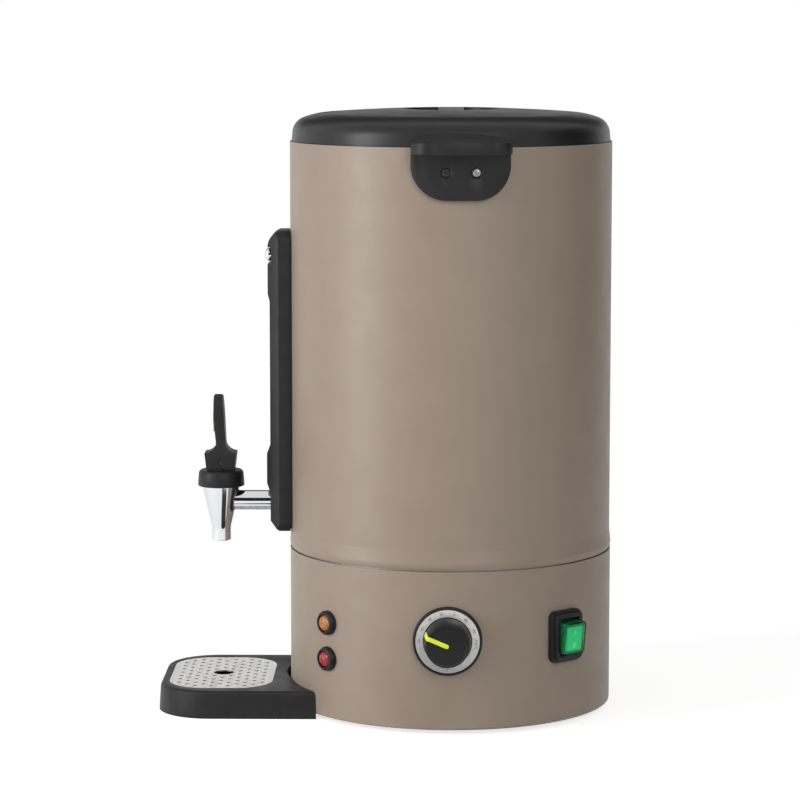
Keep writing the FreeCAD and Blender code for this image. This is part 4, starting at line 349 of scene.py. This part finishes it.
def white_plastic():
    finish = new_finish("white_plastic", srgb(232, 229, 220), 0.45)
    uneven_colour(finish, srgb(228, 225, 215), srgb(235, 232, 224), 120)
    return grain(finish, 3000, 0.00001)


def pointer_yellow():
    finish = new_finish("pointer_yellow", srgb(236, 250, 60), 0.42)
    uneven_colour(finish, srgb(232, 247, 52), srgb(240, 253, 70), 300)
    return grain(finish, 4000, 0.000008)


def print_grey():
    finish = new_finish("print_grey", srgb(92, 92, 94), 0.6)
    uneven_colour(finish, srgb(88, 88, 90), srgb(98, 98, 100), 400)
    return grain(finish, 4000, 0.000005)


# %% [markdown]
# Bare metals take their look from what they mirror. Brushing is noise stretched along one axis, and
# polished chrome has only a trace of unevenness.

# %% Metals
def stainless():
    finish = new_finish("stainless", srgb(214, 213, 211), 0.3, 1)
    uneven_colour(finish, srgb(208, 207, 205), srgb(220, 219, 217), 400, (1, 0.04, 1))
    uneven_gloss(finish, 0.26, 0.38, 900, (1, 0.03, 1))
    return grain(finish, 3500, 0.000004, (1, 0.03, 1))


def chrome():
    finish = new_finish("chrome", srgb(212, 213, 216), 0.07, 1)
    uneven_gloss(finish, 0.04, 0.11, 120)
    return grain(finish, 90, 0.00001)


def zinc_steel():
    finish = new_finish("zinc_steel", srgb(150, 151, 154), 0.4, 1)
    uneven_colour(finish, srgb(142, 143, 147), srgb(158, 158, 160), 260)
    uneven_gloss(finish, 0.34, 0.46, 300)
    return grain(finish, 2200, 0.000006)


def aluminium():
    finish = new_finish("aluminium", srgb(216, 217, 220), 0.38, 1)
    uneven_gloss(finish, 0.32, 0.46, 260)
    return grain(finish, 1800, 0.000008)


def brass():
    finish = new_finish("brass", srgb(212, 178, 104), 0.3, 1)
    uneven_colour(finish, srgb(204, 168, 94), srgb(220, 188, 116), 200)
    uneven_gloss(finish, 0.24, 0.38, 240)
    return grain(finish, 1600, 0.000006)


# %% [markdown]
# The lenses, the sight glass and the switch's boot let light through. A moulded lens is full of small
# cells, so cell-shaped bumps break up what is seen behind it.

# %% Clear and tinted plastics
def clear_finish(name, colour, roughness, clearness):
    finish = new_finish(name, colour, roughness)
    shader = finish.node_tree.nodes["Principled BSDF"]
    shader.inputs["Transmission Weight"].default_value = clearness
    shader.inputs["IOR"].default_value = 1.49
    return finish


def glass():
    finish = clear_finish("glass", srgb(238, 246, 244), 0.03, 1)
    uneven_gloss(finish, 0.02, 0.06, 90)
    return grain(finish, 60, 0.00001)


def lamp_lens(name, colour, deep):
    """Tinted plastic with small moulded cells that scatter the lamp behind it."""
    finish = clear_finish(name, colour, 0.16, 0.35)
    uneven_colour(finish, colour, deep, 500)
    uneven_gloss(finish, 0.12, 0.24, 300)
    nodes, links = finish.node_tree.nodes, finish.node_tree.links
    place = nodes.new("ShaderNodeTexCoord")
    cells = nodes.new("ShaderNodeTexVoronoi")
    cells.inputs["Scale"].default_value = 720
    bump = nodes.new("ShaderNodeBump")
    bump.inputs["Distance"].default_value = 0.0004
    links.new(place.outputs["Object"], cells.inputs["Vector"])
    links.new(cells.outputs["Distance"], bump.inputs["Height"])
    links.new(bump.outputs[0], nodes["Principled BSDF"].inputs["Normal"])
    return finish


def amber_plastic():
    return lamp_lens("amber_plastic", srgb(226, 158, 70), srgb(190, 112, 30))


def red_plastic():
    return lamp_lens("red_plastic", srgb(206, 62, 62), srgb(160, 22, 26))


def green_plastic():
    finish = new_finish("green_plastic", srgb(54, 192, 136), 0.35)
    shader = finish.node_tree.nodes["Principled BSDF"]
    # A faint emission paints a glow onto the rocker's face, which is no lamp.
    shader.inputs["Emission Color"].default_value = srgb(40, 200, 130)
    shader.inputs["Emission Strength"].default_value = 0.08
    uneven_colour(finish, srgb(50, 186, 130), srgb(60, 198, 142), 160)
    return grain(finish, 1500, 0.00001)


def dark_green():
    finish = new_finish("dark_green", srgb(22, 104, 74), 0.4)
    uneven_colour(finish, srgb(18, 96, 66), srgb(28, 112, 82), 200)
    return grain(finish, 1500, 0.00001)


def green_silicone():
    finish = clear_finish("green_silicone", srgb(196, 248, 224), 0.04, 1)
    finish.node_tree.nodes["Principled BSDF"].inputs["IOR"].default_value = 1.15
    uneven_gloss(finish, 0.02, 0.05, 220)
    return grain(finish, 900, 0.000006)


FINISHES = {make.__name__: make() for make in (
    taupe_paint, black_plastic, lid_plastic, black_rubber, silicone, white_plastic, pointer_yellow,
    print_grey,
    stainless, chrome, zinc_steel, aluminium, brass, glass, amber_plastic, red_plastic, green_plastic,
    dark_green, green_silicone)}
print("finishes:", ", ".join(FINISHES))

# %% [markdown]
# ## Dress the CAD nodes
#
# The record says which finish each node takes. Assigning to the material slots leaves the node's mesh
# and place alone, so what the joints and the collision shapes rely on stays as it was packed.

# %% Give each node its finish
slot_of = {part["node"]: part["material_slot"] for part in frame["record"]["subparts"]}
for name, node in frame["nodes"].items():
    node.data.materials.clear()
    node.data.materials.append(FINISHES[slot_of[name]])
print("dressed", len(slot_of), "nodes")

# %% [markdown]
# ## How the pieces are made
#
# A moulded part never has a knife edge. A CAD node whose form is right therefore gets an eased copy:
# its loose triangles are merged, flat regions are joined into single faces, and the edges that are
# left are bevelled by a millimetre or less. Turned parts are spun from a profile instead, which gives
# an even mesh that a highlight runs over cleanly.

# %% Helpers that make and place a piece
MERGE_DISTANCE = 0.002 * MM
FLAT_WITHIN = math.radians(1)


def finish_piece(name, bm, body, slot, replaced=(), sharp_from=38):
    """Turn a bmesh into a named piece that rides on a body and takes a finish. Print has no slot."""
    mesh = bpy.data.meshes.new(name)
    bm.to_mesh(mesh)
    bm.free()
    mesh.shade_smooth()
    mesh.set_sharp_from_angle(angle=math.radians(sharp_from))
    mesh.materials.append(FINISHES[slot])
    piece = bpy.data.objects.new(name, mesh)
    bpy.context.scene.collection.objects.link(piece)
    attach(piece, body)
    if replaced:
        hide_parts(*replaced)
    return piece


def sharp_edges(bm, angle):
    limit = math.radians(angle)
    return [edge for edge in bm.edges if len(edge.link_faces) == 2 and edge.calc_face_angle(0) > limit]


def bevel_edges(bm, edges, width, segments=2):
    bmesh.ops.bevel(bm, geom=edges, offset=width, offset_type="OFFSET", segments=segments, profile=0.5,
                    affect="EDGES", clamp_overlap=True, material=-1)


def eased_copy(node, width, segments=2, angle=30):
    """A merged copy of a CAD node with its sharp edges rounded by the given width."""
    bm = bmesh.new()
    bm.from_mesh(frame["nodes"][node].data)
    bmesh.ops.remove_doubles(bm, verts=bm.verts, dist=MERGE_DISTANCE)
    bmesh.ops.dissolve_limit(bm, angle_limit=FLAT_WITHIN, verts=bm.verts, edges=bm.edges)
    bevel_edges(bm, sharp_edges(bm, angle), width, segments)
    return bm


# %% [markdown]
# The handles, the gauge cover, the tray and the lid are moulded in one piece each, and their form is
# already right in the CAD, so eased copies are enough. The lid's wells cut a nearly flat top. There,
# smooth shading would pull the light into dents, so the lid keeps more of its edges sharp.

# %% Ease the edges of the moulded parts
LID_SHARP_FROM = 25
MOULDED_SHARP_FROM = 38
EASED = {
    "front_handle": ("urn", 1.4 * MM),
    "rear_handle": ("urn", 1.4 * MM),
    "gauge_cover": ("urn", 1.2 * MM),
    "drip_tray": ("tray", 0.7 * MM),
    "lid": ("lid", 0.4 * MM),
}
for node, (body, width) in EASED.items():
    sharp_from = LID_SHARP_FROM if node == "lid" else MOULDED_SHARP_FROM
    finish_piece("moulded_" + node, eased_copy(node, width), body, slot_of[node], [node], sharp_from)
print("eased", len(EASED), "mouldings")

# %% [markdown]
# ## Turned pieces on the casing
#
# The dial, the knob and the two signal lamps are round mouldings that stand square to the casing. Each
# starts as half an outline and is spun about Z, then its edges are eased and it is moved onto the wall.
# The back of a bezel has to follow the curve of the casing, or daylight shows behind it, so its rear
# ring of vertices is laid on the cylinder before the piece is placed.

# %% Helpers for turned pieces
CASING_RADIUS = 121 * MM


def turned(profile, steps=72, ring=False):
    """Spin a profile of (radius, height) points, in millimetres, about Z. A ring profile is closed."""
    bm = bmesh.new()
    points = [bm.verts.new((radius * MM, 0, height * MM)) for radius, height in profile]
    lines = [bm.edges.new(pair) for pair in zip(points, points[1:])]
    if ring:
        lines.append(bm.edges.new((points[-1], points[0])))
    bmesh.ops.spin(bm, geom=points + lines, axis=(0, 0, 1), angle=math.tau, steps=steps, use_merge=True)
    bmesh.ops.remove_doubles(bm, verts=bm.verts, dist=0.001 * MM)
    bmesh.ops.recalc_face_normals(bm, faces=bm.faces)
    return bm


def seat_on_casing(bm, below):
    """Lay every vertex that is lower than the given height onto the round casing."""
    for vert in bm.verts:
        if vert.co.z < below:
            vert.co.z = math.sqrt(CASING_RADIUS ** 2 - vert.co.x ** 2) - CASING_RADIUS


def casing_frame(azimuth, height, side=0.0, radius=CASING_RADIUS):
    """A frame on the casing: x along the wall, y up, z outward. Azimuth 0 faces the camera."""
    angle = math.radians(azimuth)
    outward = Vector((math.sin(angle), -math.cos(angle), 0))
    across = Vector((math.cos(angle), math.sin(angle), 0))
    place = Matrix((across, Vector((0, 0, 1)), outward)).transposed().to_4x4()
    place.translation = outward * radius + across * side + Vector((0, 0, height))
    return place


def move(bm, matrix):
    bmesh.ops.transform(bm, matrix=matrix, verts=bm.verts)
    return bm


# %% [markdown]
# The bezel is one turned ring: a raised black rim outside, a shallow channel that holds the silver
# scale, and an inner rim round the knob.

# %% The dial's bezel
DIAL = casing_frame(-0.8, 69.8 * MM)
bezel = turned([(3.6, -3), (25.2, -3), (25.2, 2.3), (24.5, 3.0), (23.35, 3.0), (23.25, 2.2),
                (17.85, 2.2), (17.7, 3.0), (3.6, 3.0)], steps=96, ring=True)
bevel_edges(bezel, sharp_edges(bezel, 40), 0.2 * MM)
seat_on_casing(bezel, -1 * MM)
finish_piece("dial_surround", move(bezel, DIAL), "urn", "black_plastic", ["dial_bezel"])
print("bezel", 2 * 25.2, "mm across")

# %% [markdown]
# The knob's face is slightly dished, with a thin bead round the edge that catches a bright line. Its
# side tapers a little, as anything that leaves a mould must.

# %% The knob
KNOB_SIDE = [(15.2, 22.3), (15.6, 21.5), (17.3, 7.6), (17.3, 4.0), (16.9, 3.5)]
knob = turned([(0, 21.95), (13.8, 21.85), (14.5, 22.3)] + KNOB_SIDE + [(0, 3.5)], steps=96)
bevel_edges(knob, sharp_edges(knob, 24), 0.25 * MM)
finish_piece("dial_knob", move(knob, DIAL), "knob", "black_plastic", ["control_knob"])
print("knob stands 22.3 mm out from the casing")

# %% [markdown]
# ## Pointer
#
# The pointer is a bright bar let into the knob. It runs over the face, bends round the rim and goes
# down the side. A ribbon is drawn out edge by edge along that path, given a thickness, and its ends are
# rounded by bevelling their corners, which keeps the bend an even strip of faces.

# %% Draw the pointer along its path
POINTER_PATH = [(-1.2, 22.3), (12.6, 22.25), (14.4, 22.6), (15.5, 22.3), (16.1, 21.2), (17.55, 9.0),
                (17.65, 7.0)]
POINTER_WIDTH = 3.2


def ribbon(path, width, thickness):
    """A strip of the given width drawn along (x, z) points, thickened inward."""
    bm = bmesh.new()
    (x, z) = path[0]
    ends = [bm.verts.new((x * MM, side * width / 2 * MM, z * MM)) for side in (-1, 1)]
    edge = [bm.edges.new(ends)]
    for (x0, z0), (x1, z1) in zip(path, path[1:]):
        drawn = bmesh.ops.extrude_edge_only(bm, edges=edge)["geom"]
        edge = [item for item in drawn if isinstance(item, bmesh.types.BMEdge)]
        fresh = [item for item in drawn if isinstance(item, bmesh.types.BMVert)]
        edge = [item for item in edge if all(vert in fresh for vert in item.verts)]
        bmesh.ops.translate(bm, vec=((x1 - x0) * MM, 0, (z1 - z0) * MM), verts=fresh)
    bmesh.ops.recalc_face_normals(bm, faces=bm.faces)
    bmesh.ops.solidify(bm, geom=bm.faces[:], thickness=thickness * MM)
    bmesh.ops.recalc_face_normals(bm, faces=bm.faces)
    return bm


pointer = ribbon(POINTER_PATH, POINTER_WIDTH, 1.0)
END_REACH = 1.2 * MM
SHORT_EDGE = 1.3 * MM
END_ROUNDING = 1.5 * MM
low_x = min(vert.co.x for vert in pointer.verts) + END_REACH
low_z = min(vert.co.z for vert in pointer.verts) + END_REACH


def runs_through_an_end(edge):
    """Whether an edge is a corner of the bar, across its thickness, at either end of the path."""
    level = abs(edge.verts[0].co.y - edge.verts[1].co.y) < 0.01 * MM
    inner = all(vert.co.x < low_x for vert in edge.verts)
    outer = all(vert.co.z < low_z for vert in edge.verts)
    return level and (inner or outer) and edge.calc_length() < SHORT_EDGE


corners = [edge for edge in pointer.edges if runs_through_an_end(edge)]
bevel_edges(pointer, corners, END_ROUNDING, 5)
bevel_edges(pointer, sharp_edges(pointer, 50), 0.25 * MM)
move(pointer, Matrix.Rotation(math.radians(157.5), 4, "Z"))
finish_piece("pointer_bar", move(pointer, DIAL), "knob", "pointer_yellow", ["knob_pointer"])
print("pointer corners rounded:", len(corners))

# %% [markdown]
# ## Numbers on the dial
#
# The silver ring is printed with temperatures from 30 to 100 degrees, tops outward, and a dot at the
# bottom. Print has almost no thickness, so each number is a text curve turned into a mesh a few
# hundredths of a millimetre thick and laid on the ring.

# %% Print the scale
SCALE_LEVEL = 3.1
SCALE_RADIUS = 20.55
SCALE_TEXT = 2.9
PRINT_LIFT = 0.02
MARKS = {"30": 179, "40": 154, "50": 128.6, "60": 102.5, "70": 76.6, "80": 50, "90": 22.5,
         "100°C": -5.5, "•": 270}


def add_print(bm, text, size, matrix):
    """Add flat lettering to a bmesh, centred on the matrix's origin, its top toward +Y."""
    curve = bpy.data.curves.new("lettering", "FONT")
    curve.body = text
    curve.size = size
    curve.extrude = PRINT_LIFT * MM
    curve.align_x = "CENTER"
    curve.align_y = "CENTER"
    holder = bpy.data.objects.new("lettering", curve)
    bpy.context.scene.collection.objects.link(holder)
    bpy.context.view_layer.update()
    mesh = bpy.data.meshes.new_from_object(holder)
    mesh.transform(matrix)
    bm.from_mesh(mesh)
    bpy.data.objects.remove(holder)
    bpy.data.meshes.remove(mesh)


scale_print = bmesh.new()
for text, angle in MARKS.items():
    turn = math.radians(angle)
    spot = Vector((math.cos(turn), math.sin(turn), 0)) * SCALE_RADIUS * MM
    spot.z = (SCALE_LEVEL + PRINT_LIFT) * MM
    place = Matrix.Translation(spot) @ Matrix.Rotation(turn - math.pi / 2, 4, "Z")
    add_print(scale_print, text, SCALE_TEXT * MM, place)
finish_piece("scale_print", move(scale_print, DIAL), "urn", "print_grey")
print("numbers printed:", len(MARKS))

# %% [markdown]
# ## Signal lamps
#
# Each lamp is a domed black ring round a tinted lens. The lens is moulded with flat facets that break
# up the light, so it is spun in few steps and its edges are kept crisp instead of smoothed.

# %% Rings and lenses
LAMP_AZIMUTH = -47.9
for tint, height in (("amber", 75.2), ("red", 48.3)):
    place = casing_frame(LAMP_AZIMUTH, height * MM)
    ring = turned([(6.25, -2), (9.0, -2), (9.0, 1.7), (8.65, 3.0), (7.9, 4.0), (7.0, 4.55), (6.5, 4.5),
                   (6.25, 4.1)], steps=64, ring=True)
    seat_on_casing(ring, -1 * MM)
    finish_piece(tint + "_lamp_ring", move(ring, place), "urn", "black_plastic", ["lamp_bezels"])
    lens = turned([(0, 6.0), (1.9, 5.85), (3.6, 5.35), (5.0, 4.5), (6.0, 3.2), (6.0, 1.6), (0, 1.6)],
                  steps=18)
    finish_piece(tint + "_lamp_lens", move(lens, place), "urn", tint + "_plastic", [tint + "_lens"],
                 sharp_from=6)
print("lamps at 75.2 and 48.3 mm")

# %% [markdown]
# ## Rocker switch
#
# The switch sits in a stepped black frame. Over the rocker goes a soft clear-green boot that keeps
# water out. Each starts as a block with bevelled corners. The frame's top is then inset and drawn up
# and down, a step at a time. The boot is a thin skin, so the bright face of the rocker shows through.

# %% Helpers for stepped blocks
def rounded_block(width, height, low, high, corner):
    """A block with round corners, its size in millimetres, standing on Z."""
    bm = bmesh.new()
    bmesh.ops.create_cube(bm, size=MM)
    bmesh.ops.scale(bm, vec=(width, height, high - low), verts=bm.verts)
    bmesh.ops.translate(bm, vec=(0, 0, (low + high) / 2 * MM), verts=bm.verts)
    upright = [edge for edge in bm.edges if abs(edge.verts[0].co.z - edge.verts[1].co.z) > 0.1 * MM]
    bevel_edges(bm, upright, corner * MM, 6)
    return bm


def top_face(bm):
    return max(bm.faces, key=lambda face: (round(face.calc_center_median().z, 6), face.calc_area()))


def step_top(bm, inward, rise):
    """Inset the top face and move what is inside up or down."""
    top = top_face(bm)
    bmesh.ops.inset_region(bm, faces=[top], thickness=inward * MM)
    raised = bmesh.ops.extrude_discrete_faces(bm, faces=[top])["faces"][0]
    bmesh.ops.translate(bm, vec=(0, 0, rise * MM), verts=raised.verts[:])


# %% [markdown]
# The rocker is tipped by 6 degrees about its pivot, so that its top stands out. A darker block makes
# the green border, and a smaller bright one stands on it as the face, which carries a faint painted
# glow.

# %% The frame, the rocker and the boot
ROCKER_TILT = math.radians(6)
PIVOT_STAND = 2 * MM
SWITCH = casing_frame(43.5, 67.7 * MM)
PIVOT = SWITCH @ Matrix.Translation((0, 0, PIVOT_STAND)) @ Matrix.Rotation(ROCKER_TILT, 4, "X")

surround = rounded_block(30, 38.2, -3, 3.4, 5)
step_top(surround, 2.05, 3.2)
step_top(surround, 3.2, -5.4)
bevel_edges(surround, sharp_edges(surround, 50), 0.9 * MM, 3)
seat_on_casing(surround, -1 * MM)
finish_piece("switch_surround", move(surround, SWITCH), "urn", "black_plastic", ["switch_frame"])

rocker = rounded_block(18.2, 22, -0.8, 8.3, 1.2)
bevel_edges(rocker, sharp_edges(rocker, 50), 0.3 * MM)
finish_piece("rocker_key", move(rocker, PIVOT), "rocker", "dark_green", ["switch_rocker"])
lit_face = rounded_block(14.4, 17.5, 7, 9.4, 0.8)
bevel_edges(lit_face, sharp_edges(lit_face, 50), 0.25 * MM)
finish_piece("rocker_face", move(lit_face, PIVOT), "rocker", "green_plastic", ["switch_rocker"])

boot = rounded_block(20.8, 24.6, 2, 10.8, 3)
bottom = min(boot.faces, key=lambda face: face.calc_center_median().z)
bmesh.ops.delete(boot, geom=[bottom], context="FACES_ONLY")
bevel_edges(boot, sharp_edges(boot, 50), 1.1 * MM, 4)
bmesh.ops.recalc_face_normals(boot, faces=boot.faces)
bmesh.ops.solidify(boot, geom=boot.faces[:], thickness=1.1 * MM)
finish_piece("clear_boot", move(boot, PIVOT), "rocker", "green_silicone", ["switch_boot"])

rocker_print = bmesh.new()
for text, up in (("I", 4.9), ("O", -4.9)):
    add_print(rocker_print, text, 4.6 * MM, Matrix.Translation((0, up * MM, 9.44 * MM)))
finish_piece("rocker_print", move(rocker_print, PIVOT), "rocker", "white_plastic")
print("switch built")

# %% [markdown]
# ## Screws
#
# Two pan-head screws hold each handle and sink into soft dimples; a tall dome holds the gauge cover.
# The cross recess is cut from the head's own top: straight cuts score it in both directions, and the
# faces inside the cross are pushed down and drawn together, as a driver's tip needs.

# %% Cross-recess screws for the handles
ARM_HALF_WIDTH = 0.45
ARM_LENGTH = 1.7
RECESS_DEPTH = 1.0


def cross_screw(radius, head, shank_radius, shank_length):
    """A screw on Z: head top at the given height, shank below zero, in millimetres."""
    top_side = [(0, head), (radius * 0.55, head - 0.08), (radius - 0.5, head - 0.35),
                (radius, head - 0.9)]
    shank = [(radius, 0), (shank_radius, 0), (shank_radius, -shank_length), (0, -shank_length)]
    bm = turned(top_side + shank, steps=32)
    for axis in (0, 1):
        for place in (ARM_HALF_WIDTH, -ARM_HALF_WIDTH, ARM_LENGTH, -ARM_LENGTH):
            normal = [0, 0, 0]
            normal[axis] = 1
            top = [face for face in bm.faces if face.calc_center_median().z > (head - 0.6) * MM]
            near = {item for face in top for item in (*face.verts, *face.edges, face)}
            bmesh.ops.bisect_plane(bm, geom=list(near), plane_co=[part * place * MM for part in normal],
                                   plane_no=normal, dist=0.001 * MM)
    arms = []
    for face in bm.faces:
        x, y, z = (abs(part) / MM for part in face.calc_center_median())
        across, along = min(x, y), max(x, y)
        if z > head - 0.6 and across < ARM_HALF_WIDTH and along < ARM_LENGTH:
            arms.append(face)
    sunk = bmesh.ops.extrude_face_region(bm, geom=arms)["geom"]
    bmesh.ops.delete(bm, geom=arms, context="FACES")
    deep = [item for item in sunk if isinstance(item, bmesh.types.BMVert)]
    bmesh.ops.translate(bm, vec=(0, 0, -RECESS_DEPTH * MM), verts=deep)
    bmesh.ops.scale(bm, vec=(0.75, 0.75, 1), verts=deep)
    return bm


SHELL_RADIUS = 120.3 * MM
HANDLE_AZIMUTHS = (3.4, 183.4)
HANDLE_SCREW_HEIGHT = 408 * MM
HEAD_STAND = 2.4 * MM
for number, azimuth in enumerate(HANDLE_AZIMUTHS):
    # Both screws of a pair are the same steel screw; the left one takes a black finish, which is
    # painted shade.
    for side, slot in ((-11, "black_rubber"), (11, "zinc_steel")):
        place = casing_frame(azimuth, HANDLE_SCREW_HEIGHT, side * MM, SHELL_RADIUS)
        screw = cross_screw(3.35, 1.6, 2.0, 11.4)
        move(screw, place @ Matrix.Translation((0, 0, HEAD_STAND)))
        where = "left" if side < 0 else "right"
        finish_piece(f"handle_screw_{where}_{number + 1}", screw, "urn", slot, ["handle_screws"])
print("handle screws: 4")

# %% [markdown]
# The gauge cover's screw has a smooth bright dome and no recess that the photo shows, so it is turned
# in one go with its shank.

# %% The domed screw of the gauge cover
dome = turned([(0, 5.4), (1.6, 5.28), (3.1, 4.85), (4.2, 4.2), (4.75, 3.5), (4.9, 2.9), (4.9, 0.3),
               (4.6, 0), (2, 0), (2, -10), (0, -10)], steps=48)
GAUGE_SCREW = casing_frame(-90, 340.2 * MM, 0, 134.2 * MM)
finish_piece("gauge_dome_screw", move(dome, GAUGE_SCREW), "urn", "chrome", ["gauge_screw"])
print("gauge screw at 340.2 mm")

# %% [markdown]
# ## Tap
#
# The tap is a polished casting: a spout that widens into a cone, a neck under the collar, and a pipe
# back through the urn's wall. Chrome shows every flat in a mesh, so both runs are spun in many steps.
# The collar is a rounded black cap, and the lever rocks on it.

# %% Spout, cone and pipe
TAP_X = -173.5
TAP = Matrix.Translation((TAP_X * MM, 0, 0))
spout = turned([(5.2, 123.7), (5.6, 123.3), (7.0, 123.3), (7.4, 123.8), (7.4, 132.4), (7.6, 134.0),
                (14.6, 165.0), (14.6, 165.8), (13.4, 165.8), (13.4, 174), (11.2, 174), (11.2, 165.8),
                (8.2, 148.5), (5.2, 147)], steps=96, ring=True)
move(spout, TAP)
pipe = turned([(5.0, 10.2), (7.7, 10.2), (7.7, 78.5), (5.0, 78.5)], steps=64, ring=True)
PIPE_PLACE = Matrix.Translation((TAP_X * MM, 0, 153.6 * MM))
move(pipe, PIPE_PLACE @ Matrix.Rotation(math.radians(90), 4, "Y"))
pipe_mesh = bpy.data.meshes.new("pipe")
pipe.to_mesh(pipe_mesh)
pipe.free()
spout.from_mesh(pipe_mesh)
bpy.data.meshes.remove(pipe_mesh)
finish_piece("chrome_tap", spout, "urn", "chrome", ["tap_body"], sharp_from=30)
print("tap stands at x =", TAP_X, "mm")

# %% [markdown]
# The collar fits over the tap's neck. It is turned like the spout, with a rounded shoulder outside
# and a hole in the middle for the stem.

# %% Collar
COLLAR_OUTSIDE = [(14.85, 165), (17.2, 165), (17.65, 165.7), (16.95, 174.6), (16.5, 176.0),
                  (15.4, 176.9), (14.6, 177)]
COLLAR_INSIDE = [(2.9, 177), (2.9, 174.2), (13.45, 174.2), (13.45, 165.9), (14.85, 165.9)]
collar = turned(COLLAR_OUTSIDE + COLLAR_INSIDE, steps=96, ring=True)
bevel_edges(collar, sharp_edges(collar, 60), 0.2 * MM)
finish_piece("tap_cap", move(collar, TAP), "urn", "black_plastic", ["tap_collar"])

# %% [markdown]
# The spring is squeezed between the seat cup and the cap. When the lever pulls the stem up, the
# spring's lower end rises with it and its top stays under the cap, so the coil gets shorter. The copy
# of the coil rides on the stem and has a mesh of its own.

# %% The spring in the tap
spring = finish_piece("tap_coil", eased_copy("tap_spring", 0.1 * MM, 1, 170), "tap_stem",
                      slot_of["tap_spring"], ["tap_spring"])
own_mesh(spring)

# %% [markdown]
# The lever's form comes from the CAD, with its edges eased. A plain pin joins it to the stem.

# %% Lever and its pin
finish_piece("tap_handle", eased_copy("tap_lever", 0.9 * MM, 3), "tap_lever", "black_plastic",
             ["tap_lever"])
pin = turned([(0, 9.5), (1.2, 9.5), (1.45, 9.3), (1.45, -9.3), (1.2, -9.5), (0, -9.5)], steps=32)
PIN = Matrix.Translation((TAP_X * MM, 0, 183 * MM)) @ Matrix.Rotation(math.radians(90), 4, "X")
finish_piece("pivot_pin", move(pin, PIN), "tap_stem", "black_rubber", ["lever_pin"])
print("lever and pin placed")
